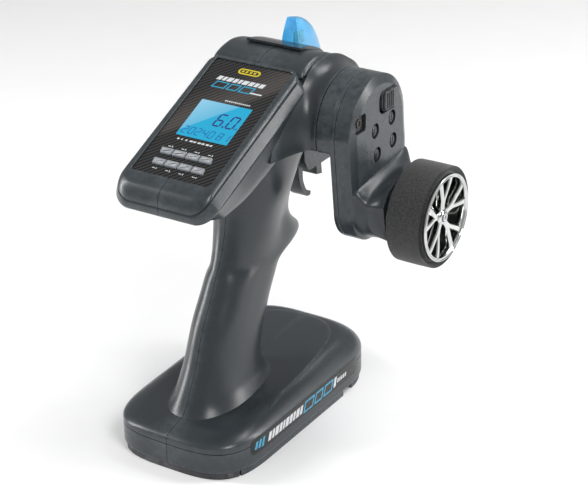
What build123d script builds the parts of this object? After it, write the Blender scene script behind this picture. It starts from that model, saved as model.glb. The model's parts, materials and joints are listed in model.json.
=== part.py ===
"""Pistol-grip radio transmitter with a steering wheel, as an assembly of separate pieces.

Frame: +X to the user's right (the wheel's side), +Y away from the user, +Z up.
Origin: centre of the underside of the base, on the split plane of the two shells.
"""
from build123d import *
from math import cos, pi, sin, sqrt
import os

os.makedirs("parts", exist_ok=True)

# ---------------------------------------------------------------- driving dimensions (mm)
WALL = 2.4  # wall of every moulded shell

BASE_HALF_WIDTH = 46.0
BASE_HALF_LENGTH = 85.0
BASE_END_DEPTH = 48.5  # length of each rounded end
BASE_END_POWER = 3.5  # squareness of the rounded ends
SHELL_BOTTOM = 4.0  # height of the shells' lower edge over the feet
SEAM_Z = 17.7  # height of the groove round the base

PANEL_TILT = 23.7  # degrees that the display panel rises away from the user
PANEL_WIDTH = 53.2
PANEL_LENGTH = 96.0
PANEL_CENTRE = (0.0, -25.5, 201.7)
HEAD_HALF_WIDTH = 33.0

POD_AXIS_Y = 43.5  # the steering pod and the wheel share this Y
POD_AXIS_Z = 187.5
POD_RADIUS = 32.2
POD_JOINT_X = 46.0  # the boss ends and the pod begins
POD_SPLIT_X = 58.0  # inner and outer pod shells meet
POD_FACE_X = 68.0
POD_BEVEL = 2.2  # bevel round the pod's face
ARM_INNER_X = 54.5  # inboard face of the hanging arm
ARM_BOTTOM_Z = 118.5
HEAD_CUT_Z = 178.5  # flat underside of the boss

HOOD_CENTRE = (28.4, 152.0)  # Y and Z of the centre of the arch over the head
HOOD_RADIUS = 75.6

WHEEL_AXIS_Z = 140.3
HOUSING_END_X = 86.0
WHEEL_INNER_X = 92.0
WHEEL_OUTER_X = 115.0
RIM_RADIUS = 26.7
TYRE_RADIUS = 30.8
SHAFT_RADIUS = 3.0
SHAFT_START_X = 57.2
SPOKES = 5

TRIGGER_AXIS = (68.0, 155.0)  # Y and Z of the trigger's axle
TRIGGER_HALF_WIDTH = 5.2

KEY_PITCH = 9.1
KEY_SIZE = (8.4, 4.6)
KEY_ROWS = (-29.8, -38.4)  # distance of each key row from the panel's centre

CELL_RADIUS = 7.1
CELL_LENGTH = 49.5
CELL_PITCH = 14.8
BAY_CENTRE_Y = -12.5

panel_plane = Plane(
    origin=PANEL_CENTRE,
    x_dir=(1, 0, 0),
    z_dir=(0, -sin(PANEL_TILT * pi / 180), cos(PANEL_TILT * pi / 180)),
)
panel_axis = Axis(origin=PANEL_CENTRE, direction=tuple(panel_plane.z_dir))


def save(piece, label):
    """Name a finished piece and write its STEP file."""
    piece.part.label = label
    export_step(piece.part, "parts/" + label + ".step")


def on_panel(along, above=0.0):
    """Y and Z of a point given by its distances up the panel and above it."""
    point = panel_plane.from_local_coords((0, along, above))
    return point.Y, point.Z


def hood_z(y):
    """Height of the arch over the head at a given Y."""
    return HOOD_CENTRE[1] + sqrt(HOOD_RADIUS**2 - (y - HOOD_CENTRE[0]) ** 2)


# ---------------------------------------------------------------- outlines
def base_outline(inset=0.0):
    """Footprint of the base: straight sides and bowed ends with full corners."""
    straight = BASE_HALF_LENGTH - BASE_END_DEPTH
    width = BASE_HALF_WIDTH - inset
    depth = BASE_END_DEPTH - inset
    power = 2 / BASE_END_POWER
    quarter = [(width, straight)]
    for step in range(1, 7):
        angle = step * pi / 14
        quarter.append((width * cos(angle) ** power, straight + depth * sin(angle) ** power))
    end = quarter + [(0, straight + depth)] + [(-x, y) for x, y in reversed(quarter)]
    with BuildSketch(Plane.XY) as outline:
        with BuildLine():
            front = Spline(*end, tangents=[(0, 1), (0, -1)])
            rear = mirror(front, about=Plane.XZ)
            Line(front @ 0, rear @ 0)
            Line(front @ 1, rear @ 1)
        make_face()
    return outline.sketch


# height, rear Y, front Y and half width of the grip, from the flared foot to the neck
GRIP_SECTIONS = (
    (20.0, -70.0, 34.0, 29.0),
    (27.0, -65.5, 20.0, 24.5),
    (38.0, -60.2, 6.5, 19.8),
    (52.0, -53.3, 5.5, 17.8),
    (75.0, -43.9, 15.0, 17.2),
    (92.0, -34.4, 25.0, 16.8),
    (108.0, -25.8, 45.0, 16.2),
    (124.0, -19.4, 38.5, 17.5),
    (140.0, -17.5, 39.0, 20.0),
    (154.0, -18.0, 46.0, 23.0),
    (172.0, -20.0, 52.0, 26.0),
)


def grip_form(inset=0.0):
    """The grip as a lofted solid, smaller all round by the inset."""
    with BuildPart() as form:
        for height, rear, front, half_width in GRIP_SECTIONS:
            with BuildSketch(Plane.XY.offset(height)):
                with Locations((0, (rear + front) / 2)):
                    Ellipse(half_width - inset, (front - rear) / 2 - inset)
        loft()
    return form.part


def head_outline(inset=0.0):
    """Side view (Y, Z) of the head: nose, sloping panel, arched hood, front and underside."""
    bezel_rear = on_panel(-53.0, 1.0)
    bezel_front = on_panel(50.5, 1.0)
    with BuildSketch(Plane.XY) as outline:
        with BuildLine():
            Polyline((-52, 161), (-79, 161.5), (-85.5, 165), (-86.5, 170), (-83.5, 175.5), bezel_rear)
            Line(bezel_rear, bezel_front)
            Polyline(bezel_front, (30, 225.2), (38, hood_z(38)))
            ThreePointArc((38, hood_z(38)), (62, hood_z(62)), (90, hood_z(90)))
            Polyline((90, hood_z(90)), (92.5, 188), (90, 180), (84, 176.8), (-2, 176.8))
            Polyline((-2, 176.8), (-38, 164.8), (-52, 161))
        make_face()
        if inset:
            offset(amount=-inset)
    return outline.sketch


def pod_outline(inset=0.0):
    """Side view (Y, Z) of the pod: half round on top, straight sides, rounded foot."""
    rear = POD_AXIS_Y - POD_RADIUS
    front = POD_AXIS_Y + POD_RADIUS
    with BuildSketch(Plane.XY) as outline:
        with BuildLine():
            ThreePointArc((rear, POD_AXIS_Z), (POD_AXIS_Y, POD_AXIS_Z + POD_RADIUS), (front, POD_AXIS_Z))
            Line((front, POD_AXIS_Z), (front, 138))
            ThreePointArc((front, 138), (front - 6, 124.5), (front - 20, ARM_BOTTOM_Z))
            Line((front - 20, ARM_BOTTOM_Z), (38, ARM_BOTTOM_Z))
            ThreePointArc((38, ARM_BOTTOM_Z), (24, 125.5), (16, 141))
            Line((16, 141), (rear, POD_AXIS_Z))
        make_face()
        if inset:
            offset(amount=-inset)
    return outline.sketch


def housing_outline(inset=0.0):
    """Side view (Y, Z) of the steering housing that carries the wheel's shaft."""
    with BuildSketch(Plane.XY) as outline:
        with BuildLine():
            Line((72, 138), (72, 152))
            ThreePointArc((72, 152), (64, 161), (46, 164))
            ThreePointArc((46, 164), (28, 161), (18, 150))
            Line((18, 150), (18, 141))
            ThreePointArc((18, 141), (25, 126), (38, ARM_BOTTOM_Z + 0.6))
            Line((38, ARM_BOTTOM_Z + 0.6), (54, ARM_BOTTOM_Z + 0.6))
            ThreePointArc((54, ARM_BOTTOM_Z + 0.6), (67, 125), (72, 138))
        make_face()
        if inset:
            offset(amount=-inset)
    return outline.sketch


# ---------------------------------------------------------------- the two main shells
# Y, Z and the depth of the screw heads under the left wall's widest point
SCREW_POSTS = ((-68.0, 171.0, 31.0), (82.0, 190.0, 31.0), (0.0, 100.0, 15.0), (-26.0, 52.0, 16.0))

# the boss flares out of the head's right side and carries the steering pod
BOSS_ROOT_X = 27.0
BOSS_ROOT_RADIUS = 37.0
BOSS_NECK_X = 42.0
with BuildPart() as boss_form:
    with BuildSketch(Plane.YZ.offset(BOSS_ROOT_X)):
        with Locations((POD_AXIS_Y, POD_AXIS_Z)):
            Circle(BOSS_ROOT_RADIUS)
    with BuildSketch(Plane.YZ.offset(BOSS_NECK_X)):
        with Locations((POD_AXIS_Y, POD_AXIS_Z)):
            Circle(POD_RADIUS)
    loft()
    with BuildSketch(Plane.YZ.offset(BOSS_NECK_X)):
        with Locations((POD_AXIS_Y, POD_AXIS_Z)):
            Circle(POD_RADIUS)
    extrude(amount=POD_JOINT_X - BOSS_NECK_X)
    with BuildSketch(Plane.XY.offset(HEAD_CUT_Z)):
        with Locations((POD_JOINT_X, POD_AXIS_Y)):
            Rectangle(60, 90)
    extrude(amount=-40, mode=Mode.SUBTRACT)

with BuildPart() as boss_cavity:
    with BuildSketch(Plane.YZ.offset(BOSS_ROOT_X)):
        with Locations((POD_AXIS_Y, POD_AXIS_Z)):
            Circle(POD_RADIUS - WALL)
    extrude(amount=POD_JOINT_X - BOSS_ROOT_X + 1)
    with BuildSketch(Plane.XY.offset(HEAD_CUT_Z + WALL)):
        with Locations((POD_JOINT_X, POD_AXIS_Y)):
            Rectangle(60, 90)
    extrude(amount=-40, mode=Mode.SUBTRACT)

with BuildPart() as shell_form:
    with BuildSketch(Plane.XY.offset(SHELL_BOTTOM)):
        add(base_outline())
    extrude(amount=18)
    with BuildSketch(Plane.XY.offset(SHELL_BOTTOM + 18)):
        add(base_outline())
    with BuildSketch(Plane.XY.offset(SHELL_BOTTOM + 31)):
        add(base_outline(11))
    loft()
    with BuildSketch(Plane.YZ):
        with BuildLine():
            Polyline((-90, 0), (90, 0), (90, 30.5), (62, 34.4), (0, 31.5), (-60, 28.0), (-90, 24.5), (-90, 0))
        make_face()
    extrude(amount=60, both=True, mode=Mode.INTERSECT)
    add(grip_form())
    with BuildSketch(Plane.YZ):
        add(head_outline())
    extrude(amount=HEAD_HALF_WIDTH, both=True)
    add(boss_form.part)

with BuildPart() as shell_cavity:
    with BuildSketch(Plane.XY):
        add(base_outline(WALL))
    extrude(amount=SHELL_BOTTOM + 17.5)
    with BuildSketch(Plane.XY.offset(SHELL_BOTTOM + 17.5)):
        add(base_outline(WALL))
    with BuildSketch(Plane.XY.offset(SHELL_BOTTOM + 29)):
        add(base_outline(WALL + 11))
    loft()
    with BuildSketch(Plane.YZ):
        with BuildLine():
            Polyline((-90, 0), (90, 0), (90, 27), (62, 31.6), (0, 28.8), (-60, 25.2), (-90, 21.5), (-90, 0))
        make_face()
    extrude(amount=60, both=True, mode=Mode.INTERSECT)
    add(grip_form(WALL))
    with BuildSketch(Plane.YZ):
        add(head_outline(WALL))
    extrude(amount=HEAD_HALF_WIDTH - WALL, both=True)
    add(boss_cavity.part)

# leaf-shaped area on the front of the grip for the soft insert
with BuildPart() as leaf_column:
    with BuildSketch(Plane.XZ.offset(-2)):
        with BuildLine():
            leaf_right = Spline((0, 104), (9.5, 90), (11, 76), (6, 60), (0, 50))
            mirror(leaf_right, about=Plane.YZ)
        make_face()
    extrude(amount=-60)

with BuildPart() as grip_insert:
    add(grip_form())
    add(grip_form(1.6), mode=Mode.SUBTRACT)
    add(leaf_column.part, mode=Mode.INTERSECT)
save(grip_insert, "grip_insert")

# label strips, let into both long sides of the base
LABEL_Z = (10.9, 21.3)
LABEL_Y = (-62.0, 59.2)
with BuildPart() as label_band:
    with BuildSketch(Plane.XY.offset(LABEL_Z[0])):
        add(base_outline())
        add(base_outline(0.8), mode=Mode.SUBTRACT)
    extrude(amount=LABEL_Z[1] - LABEL_Z[0])
    with BuildSketch(Plane.XY):
        with Locations((0, (LABEL_Y[0] + LABEL_Y[1]) / 2)):
            Rectangle(2 * BASE_HALF_WIDTH + 10, LABEL_Y[1] - LABEL_Y[0])
    extrude(amount=40, mode=Mode.INTERSECT)

with BuildPart() as right_label:
    add(label_band.part)
    split(bisect_by=Plane.YZ, keep=Keep.TOP)
save(right_label, "right_label")

with BuildPart() as left_label:
    add(label_band.part)
    split(bisect_by=Plane.YZ, keep=Keep.BOTTOM)
save(left_label, "left_label")

# everything that is cut out of the joined shells
TRIGGER_BLOCK = (14.0, 49.5, 90.0, 144.0, 176.8)  # half width, rear Y, front Y, bottom Z, top Z
with BuildPart() as shell_cuts:
    with BuildSketch(Plane.XY.offset(SEAM_Z - 0.3)):
        add(base_outline(-1))
        add(base_outline(0.7), mode=Mode.SUBTRACT)
    extrude(amount=0.6)
    with BuildSketch(panel_plane.offset(-0.8)):
        RectangleRounded(PANEL_WIDTH + 0.2, PANEL_LENGTH + 0.2, 2)
    extrude(amount=5)
    with BuildSketch(panel_plane):
        with Locations((1, -12.5)):
            Rectangle(44, 64)
    extrude(amount=-8)
    block_width, block_rear, block_front, block_bottom, block_top = TRIGGER_BLOCK
    with BuildSketch(Plane.XY.offset(block_bottom)):
        with Locations((0, (block_rear + block_front) / 2)):
            Rectangle(2 * block_width, block_front - block_rear)
    extrude(amount=block_top - block_bottom)
    with Locations(Plane.YZ.offset(-HEAD_HALF_WIDTH)):
        with Locations((5, 190)):
            Box(9, 5, 6)

with BuildPart() as shells:
    add(shell_form.part)
    add(shell_cavity.part, mode=Mode.SUBTRACT)
    add(shell_cuts.part, mode=Mode.SUBTRACT)
    add(label_band.part, mode=Mode.SUBTRACT)
    add(grip_insert.part, mode=Mode.SUBTRACT)

with BuildPart() as post_columns:
    for post_y, post_z, reach in SCREW_POSTS:
        with BuildSketch(Plane.YZ.offset(-reach)):
            with Locations((post_y, post_z)):
                Circle(3.6)
        extrude(amount=2 * reach)

with BuildPart() as left_shell:
    add(shells.part)
    add(post_columns.part)
    split(bisect_by=Plane.YZ, keep=Keep.BOTTOM)
    for post_y, post_z, reach in SCREW_POSTS:
        with BuildSketch(Plane.YZ):
            with Locations((post_y, post_z)):
                Circle(1.6)
        extrude(amount=-reach - 6, mode=Mode.SUBTRACT)
        with BuildSketch(Plane.YZ.offset(-reach + 3)):
            with Locations((post_y, post_z)):
                Circle(3.0)
        extrude(amount=-12, mode=Mode.SUBTRACT)
save(left_shell, "left_shell")

with BuildPart() as right_shell:
    add(shells.part)
    add(post_columns.part)
    split(bisect_by=Plane.YZ, keep=Keep.TOP)
    for post_y, post_z, reach in SCREW_POSTS:
        with BuildSketch(Plane.YZ):
            with Locations((post_y, post_z)):
                Circle(1.2)
        extrude(amount=10, mode=Mode.SUBTRACT)
save(right_shell, "right_shell")

with BuildPart() as shell_screws:
    for post_y, post_z, reach in SCREW_POSTS:
        with BuildSketch(Plane.YZ.offset(-reach + 3)):
            with Locations((post_y, post_z)):
                Circle(1.2)
        extrude(amount=reach - 3 + 8)
        with BuildSketch(Plane.YZ.offset(-reach + 3)):
            with Locations((post_y, post_z)):
                Circle(2.7)
        extrude(amount=-1.8)
save(shell_screws, "shell_screws")

# ---------------------------------------------------------------- display panel and keys
LCD_CENTRE = (1.0, -0.5)
LCD_SIZE = (34.8, 30.0)
KEY_COLUMNS = [(index - 1.5) * KEY_PITCH for index in range(4)]
KEY_SPOTS = [(column, row) for row in KEY_ROWS for column in KEY_COLUMNS]

with BuildPart() as display_panel:
    with BuildSketch(panel_plane.offset(-0.8)):
        RectangleRounded(PANEL_WIDTH, PANEL_LENGTH, 1.9)
        with Locations(LCD_CENTRE):
            Rectangle(LCD_SIZE[0] + 0.2, LCD_SIZE[1] + 0.2, mode=Mode.SUBTRACT)
        with Locations(KEY_SPOTS):
            Rectangle(KEY_SIZE[0] + 0.5, KEY_SIZE[1] + 0.5, mode=Mode.SUBTRACT)
    extrude(amount=0.8)
save(display_panel, "display_panel")

with BuildPart() as lcd_window:
    with BuildSketch(panel_plane.offset(-0.9)):
        with Locations(LCD_CENTRE):
            Rectangle(*LCD_SIZE)
    extrude(amount=0.8)
save(lcd_window, "lcd_window")

with BuildPart() as lcd_module:
    with BuildSketch(panel_plane.offset(-4.4)):
        with Locations(LCD_CENTRE):
            Rectangle(39, 36)
    extrude(amount=3.4)
save(lcd_module, "lcd_module")

with BuildPart() as keypad_mat:
    with BuildSketch(panel_plane.offset(-4.4)):
        with Locations((0, sum(KEY_ROWS) / 2)):
            Rectangle(40, 17)
    extrude(amount=1.0)
    with BuildSketch(panel_plane.offset(-3.4)):
        with Locations(KEY_SPOTS):
            Circle(1.6)
    extrude(amount=0.4)
save(keypad_mat, "keypad_mat")

for number, (key_x, key_y) in enumerate(KEY_SPOTS, start=1):
    with BuildPart() as key:
        with BuildSketch(panel_plane.offset(-2.0)):
            with Locations((key_x, key_y)):
                Rectangle(*KEY_SIZE)
        extrude(amount=3.4)
        chamfer(faces().sort_by(panel_axis)[-1].edges(), length=0.5)
    save(key, "key_" + str(number))

with BuildPart() as main_board:
    with BuildSketch(panel_plane.offset(-6.2)):
        with Locations((0, -10)):
            Rectangle(50, 84)
    extrude(amount=1.6)
save(main_board, "main_board")

with BuildPart() as radio_module:
    with BuildSketch(panel_plane.offset(-9.8)):
        with Locations((0, 18)):
            Rectangle(24, 18)
    extrude(amount=3.4)
save(radio_module, "radio_module")

with BuildPart() as speaker:
    with BuildSketch(panel_plane.offset(-10.8)):
        with Locations((-12, -8)):
            Circle(8)
    extrude(amount=4.4)
save(speaker, "speaker")

# ---------------------------------------------------------------- antenna
with BuildPart() as antenna_pad:
    with BuildSketch(Plane.YZ):
        with Locations(HOOD_CENTRE):
            Circle(HOOD_RADIUS + 2.0)
            Circle(HOOD_RADIUS + 0.2, mode=Mode.SUBTRACT)
    extrude(amount=20, both=True)
    with BuildSketch(Plane.XY.offset(190)):
        with BuildLine():
            Polyline((-19, 39), (19, 39), (15, 70), (9, 84), (-9, 84), (-15, 70), (-19, 39))
        make_face()
    extrude(amount=50, mode=Mode.INTERSECT)
save(antenna_pad, "antenna_pad")

with BuildPart() as antenna_fin:
    with BuildSketch(Plane.YZ):
        with BuildLine():
            Polyline((58.5, 238.5), (64, 236.5), (71, 231.5), (79, 223), (86, 210))
            Polyline((86, 210), (86, 190), (57.5, 190), (58.5, 238.5))
        make_face()
    extrude(amount=6, both=True)
    with BuildSketch(Plane.XZ.offset(-50)):
        with BuildLine():
            Polyline((-6, 190), (-6, 219), (-3.2, 240), (3.2, 240), (6, 219), (6, 190), (-6, 190))
        make_face()
    extrude(amount=-40, mode=Mode.INTERSECT)
    with BuildSketch(Plane.YZ.offset(-10)):
        with Locations(HOOD_CENTRE):
            Circle(HOOD_RADIUS + 2.05)
    extrude(amount=20, mode=Mode.SUBTRACT)
    with BuildSketch(Plane.XY.offset(215)):
        with Locations((0, 66)):
            Rectangle(1.8, 5.2)
    extrude(amount=14, mode=Mode.SUBTRACT)
save(antenna_fin, "antenna_fin")

with BuildPart() as antenna_element:
    with BuildSketch(Plane.XY.offset(221.5)):
        with Locations((0, 66)):
            Rectangle(1.0, 4.6)
    extrude(amount=7)
save(antenna_element, "antenna_element")

# ---------------------------------------------------------------- base fittings
BAY_HALF_WIDTH = 30.5
BAY_REAR = BAY_CENTRE_Y - 52.5
BAY_FRONT = BAY_CENTRE_Y + 52.5
DOOR_REAR = -68.0
DOOR_FRONT = 43.0

with BuildPart() as bottom_cover:
    with BuildSketch(Plane.XY.offset(SHELL_BOTTOM)):
        add(base_outline(WALL + 0.2))
        with Locations((0, BAY_CENTRE_Y)):
            Rectangle(2 * BAY_HALF_WIDTH, BAY_FRONT - BAY_REAR, mode=Mode.SUBTRACT)
    extrude(amount=2.2)
    with BuildSketch(Plane.XY.offset(SHELL_BOTTOM + 2.2)):
        with Locations((0, BAY_CENTRE_Y)):
            Rectangle(2 * BAY_HALF_WIDTH + 3, BAY_FRONT - BAY_REAR + 3)
            Rectangle(2 * BAY_HALF_WIDTH, BAY_FRONT - BAY_REAR, mode=Mode.SUBTRACT)
    extrude(amount=15)
    with BuildSketch(Plane.XY.offset(SHELL_BOTTOM + 17.2)):
        with Locations((0, BAY_CENTRE_Y)):
            Rectangle(2 * BAY_HALF_WIDTH + 3, BAY_FRONT - BAY_REAR + 3)
    extrude(amount=1.5)
save(bottom_cover, "bottom_cover")

with BuildPart() as battery_door:
    with BuildSketch(Plane.XY):
        add(base_outline(1.2))
        with Locations((0, (DOOR_REAR + DOOR_FRONT) / 2)):
            Rectangle(120, DOOR_FRONT - DOOR_REAR, mode=Mode.INTERSECT)
    extrude(amount=SHELL_BOTTOM - 0.3)
    with BuildSketch(Plane.XY):
        with Locations((0, -54)):
            with GridLocations(0, 3, 1, 5):
                SlotOverall(34, 1.4)
    extrude(amount=0.7, mode=Mode.SUBTRACT)
save(battery_door, "battery_door")

for foot_name, foot_y in (("rear_foot", -79.5), ("front_foot", 78.0)):
    foot_depth = 2 * (abs(foot_y) - 69) if foot_y < 0 else 2 * (foot_y - 54)
    with BuildPart() as foot:
        with BuildSketch(Plane.XY):
            add(base_outline(1.2))
            with Locations((0, foot_y)):
                Rectangle(120, foot_depth, mode=Mode.INTERSECT)
        extrude(amount=SHELL_BOTTOM)
    save(foot, foot_name)

CELL_COLUMNS = [(index - 1.5) * CELL_PITCH for index in range(4)]
CELL_Z = SHELL_BOTTOM + 9.6
with BuildPart() as battery_cells:
    for cell_rear in (BAY_CENTRE_Y - CELL_LENGTH - 0.6, BAY_CENTRE_Y + 0.6):
        with BuildSketch(Plane.XZ.offset(-cell_rear)):
            with Locations([(column, CELL_Z) for column in CELL_COLUMNS]):
                Circle(CELL_RADIUS)
        extrude(amount=-CELL_LENGTH + 1)
save(battery_cells, "battery_cells")

with BuildPart() as battery_contacts:
    for contact_y in (BAY_REAR + 0.1, BAY_FRONT - 0.6):
        with BuildSketch(Plane.XZ.offset(-contact_y)):
            with Locations([(-CELL_PITCH, CELL_Z), (CELL_PITCH, CELL_Z)]):
                Rectangle(CELL_PITCH + 9, 9)
        extrude(amount=-0.5)
save(battery_contacts, "battery_contacts")

socket_plane = Plane(origin=(-37.4, -74.2, 9.6), z_dir=(-0.62, -0.78, 0))
with BuildPart() as charging_socket:
    with BuildSketch(socket_plane.offset(-9)):
        Circle(3.4)
        Circle(1.3, mode=Mode.SUBTRACT)
    extrude(amount=4.6)
save(charging_socket, "charging_socket")

with BuildPart() as power_switch:
    with Locations(Plane.YZ.offset(-HEAD_HALF_WIDTH + 0.4)):
        with Locations((3.5, 190)):
            Box(5, 4.4, 3.4)
save(power_switch, "power_switch")

# ---------------------------------------------------------------- trigger group
trigger_y, trigger_z = TRIGGER_AXIS
with BuildPart() as trigger_housing:
    with BuildSketch(Plane.YZ):
        with BuildLine():
            Polyline((block_rear, block_top), (block_rear, 152), (block_rear + 4, block_bottom + 1))
            Polyline((block_rear + 4, block_bottom + 1), (block_rear + 7, block_bottom))
            Line((block_rear + 7, block_bottom), (block_front - 9, block_bottom))
            Polyline((block_front - 9, block_bottom), (block_front - 3, 147), (block_front, 153))
            Polyline((block_front, 153), (block_front, block_top), (block_rear, block_top))
        make_face()
    extrude(amount=block_width, both=True)
    with BuildSketch(Plane.XY.offset(block_bottom)):
        with Locations((0, (block_rear + block_front) / 2)):
            Rectangle(2 * TRIGGER_HALF_WIDTH + 1.2, block_front - block_rear - 4)
    extrude(amount=24, mode=Mode.SUBTRACT)
    with BuildSketch(Plane.YZ.offset(-12.6)):
        with Locations(TRIGGER_AXIS):
            Rectangle(9.4, 9.4)
    extrude(amount=6.9, mode=Mode.SUBTRACT)
    with BuildSketch(Plane.YZ.offset(-8)):
        with Locations(TRIGGER_AXIS):
            Circle(1.5)
    extrude(amount=20, mode=Mode.SUBTRACT)
save(trigger_housing, "trigger_housing")

with BuildPart() as trigger_axle:
    with BuildSketch(Plane.YZ.offset(-7)):
        with Locations(TRIGGER_AXIS):
            Circle(1.5)
    extrude(amount=18)
save(trigger_axle, "trigger_axle")

with BuildPart() as trigger_sensor:
    with BuildSketch(Plane.YZ.offset(-12.5)):
        with Locations(TRIGGER_AXIS):
            Rectangle(9, 9)
            Circle(1.6, mode=Mode.SUBTRACT)
    extrude(amount=6.4)
save(trigger_sensor, "trigger_sensor")

with BuildPart() as trigger:
    with BuildSketch(Plane.YZ):
        with BuildLine():
            Polyline((56.5, 149), (56.5, 140))
            Spline((56.5, 140), (58.6, 130), (64, 121.8), (70, 120.2), tangents=[(0, -1), (1, 0.2)])
            Polyline((70, 120.2), (70.4, 122.6))
            Spline((70.4, 122.6), (66, 124.4), (62.4, 131), (61.4, 140), tangents=[(-1, 0), (0, 1)])
            Polyline((61.4, 140), (61.4, 144), (77, 144), (77.4, 131), (84, 129.4))
            Polyline((84, 129.4), (82.4, 144), (82.4, 149), (56.5, 149))
        make_face()
        with Locations(TRIGGER_AXIS):
            Circle(4.6)
        with Locations((trigger_y, trigger_z - 4)):
            Rectangle(8, 6)
        with Locations(TRIGGER_AXIS):
            Circle(1.56, mode=Mode.SUBTRACT)
    extrude(amount=TRIGGER_HALF_WIDTH, both=True)
    with BuildSketch(Plane.YZ.offset(1.4)):
        with Locations(TRIGGER_AXIS):
            Rectangle(12, 12)
    extrude(amount=6, mode=Mode.SUBTRACT)
save(trigger, "trigger")

with BuildPart() as trigger_spring:
    for turn in range(3):
        with Locations(Plane.YZ.offset(2.5 + 1.1 * turn)):
            with Locations(TRIGGER_AXIS):
                Torus(2.9, 0.45)
save(trigger_spring, "trigger_spring")

# ---------------------------------------------------------------- steering pod
# Y and Z of every control on the pod's face
TRIM_SPOTS = ((57.5, 189.5), (38.0, 187.5), (59.0, 174.5), (40.5, 171.8))
THUMB_SPOT = (54.0, 202.5)
SQUARE_SPOT = (21.5, 197.5)
LED_SPOT = (48.0, 189.0)

with BuildPart() as pod_inner_shell:
    with BuildSketch(Plane.YZ.offset(ARM_INNER_X)):
        add(pod_outline())
    extrude(amount=POD_SPLIT_X - ARM_INNER_X)
    with BuildSketch(Plane.YZ.offset(POD_JOINT_X)):
        with Locations((POD_AXIS_Y, POD_AXIS_Z)):
            Circle(POD_RADIUS)
    extrude(amount=ARM_INNER_X - POD_JOINT_X)
    with BuildSketch(Plane.XY.offset(HEAD_CUT_Z)):
        with Locations((POD_JOINT_X, POD_AXIS_Y)):
            Rectangle(2 * (ARM_INNER_X - POD_JOINT_X), 80)
    extrude(amount=-40, mode=Mode.SUBTRACT)
    with BuildSketch(Plane.YZ.offset(ARM_INNER_X + WALL)):
        add(pod_outline(WALL))
    extrude(amount=20, mode=Mode.SUBTRACT)
    with BuildSketch(Plane.YZ.offset(POD_JOINT_X - 1)):
        with Locations((POD_AXIS_Y, POD_AXIS_Z + 8)):
            Circle(12)
    extrude(amount=20, mode=Mode.SUBTRACT)
save(pod_inner_shell, "pod_inner_shell")

with BuildPart() as pod_outer_shell:
    with BuildSketch(Plane.YZ.offset(POD_SPLIT_X)):
        add(pod_outline())
    extrude(amount=POD_FACE_X - POD_BEVEL - POD_SPLIT_X)
    with BuildSketch(Plane.YZ.offset(POD_FACE_X - POD_BEVEL)):
        add(pod_outline())
    extrude(amount=POD_BEVEL, taper=45)
    with BuildSketch(Plane.YZ.offset(POD_SPLIT_X + 2)):
        add(housing_outline())
    extrude(amount=HOUSING_END_X - POD_SPLIT_X - 2)
    with BuildSketch(Plane.YZ.offset(HOUSING_END_X)):
        with Locations((POD_AXIS_Y, WHEEL_AXIS_Z)):
            Circle(20.5)
    extrude(amount=3.4)
    with BuildSketch(Plane.YZ.offset(POD_SPLIT_X)):
        add(pod_outline(WALL))
    extrude(amount=POD_FACE_X - WALL - POD_SPLIT_X, mode=Mode.SUBTRACT)
    with BuildSketch(Plane.YZ.offset(POD_SPLIT_X)):
        add(housing_outline(WALL))
    extrude(amount=HOUSING_END_X - WALL - POD_SPLIT_X, mode=Mode.SUBTRACT)
    with BuildSketch(Plane.YZ.offset(HOUSING_END_X - 10)):
        with Locations((POD_AXIS_Y, WHEEL_AXIS_Z)):
            Circle(6.0)
    extrude(amount=20, mode=Mode.SUBTRACT)
    with BuildSketch(Plane.YZ.offset(POD_FACE_X - 6)):
        with Locations(TRIM_SPOTS):
            Ellipse(4.2, 4.8)
        with Locations(THUMB_SPOT):
            RectangleRounded(21, 13, 3)
        with Locations(SQUARE_SPOT):
            Rectangle(10.4, 10.4)
        with Locations(LED_SPOT):
            Circle(1.3)
    extrude(amount=12, mode=Mode.SUBTRACT)
save(pod_outer_shell, "pod_outer_shell")

for number, (trim_y, trim_z) in enumerate(TRIM_SPOTS, start=1):
    with BuildPart() as trim_button:
        with BuildSketch(Plane.YZ.offset(POD_FACE_X - 4.5)):
            with Locations((trim_y, trim_z)):
                Ellipse(3.8, 4.4)
        extrude(amount=6.2)
        fillet(faces().sort_by(Axis.X)[-1].edges(), radius=1.3)
    save(trim_button, "trim_button_" + str(number))

with BuildPart() as thumb_switch:
    with BuildSketch(Plane.YZ.offset(POD_FACE_X - 4.5)):
        with Locations((THUMB_SPOT[0] + 2, THUMB_SPOT[1])):
            RectangleRounded(15.5, 12.2, 2.5)
    extrude(amount=4.0)
    with BuildSketch(Plane.YZ.offset(POD_FACE_X - 1)):
        with Locations((THUMB_SPOT[0] + 2, THUMB_SPOT[1])):
            with GridLocations(3, 0, 4, 1):
                Rectangle(1.6, 10.5)
    extrude(amount=2.6)
save(thumb_switch, "thumb_switch")

with BuildPart() as side_button:
    with BuildSketch(Plane.YZ.offset(POD_FACE_X - 5)):
        with Locations(SQUARE_SPOT):
            RectangleRounded(9.8, 9.8, 1.2)
    extrude(amount=5.3)
    fillet(faces().sort_by(Axis.X)[-1].edges(), radius=0.8)
save(side_button, "side_button")

with BuildPart() as status_led:
    with BuildSketch(Plane.YZ.offset(POD_FACE_X - 4)):
        with Locations(LED_SPOT):
            Circle(1.2)
    extrude(amount=4.3)
save(status_led, "status_led")

with BuildPart() as pod_board:
    with BuildSketch(Plane.YZ.offset(POD_SPLIT_X + 1)):
        with Locations((POD_AXIS_Y + 2, POD_AXIS_Z)):
            Rectangle(42, 34)
    extrude(amount=1.6)
save(pod_board, "pod_board")

POD_SCREW_SPOTS = ((20.0, 168.0), (68.0, 168.0))
with BuildPart() as pod_screws:
    with BuildSketch(Plane.YZ.offset(ARM_INNER_X - 1.4)):
        with Locations(POD_SCREW_SPOTS):
            Circle(2.4)
    extrude(amount=1.4)
save(pod_screws, "pod_screws")

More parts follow.
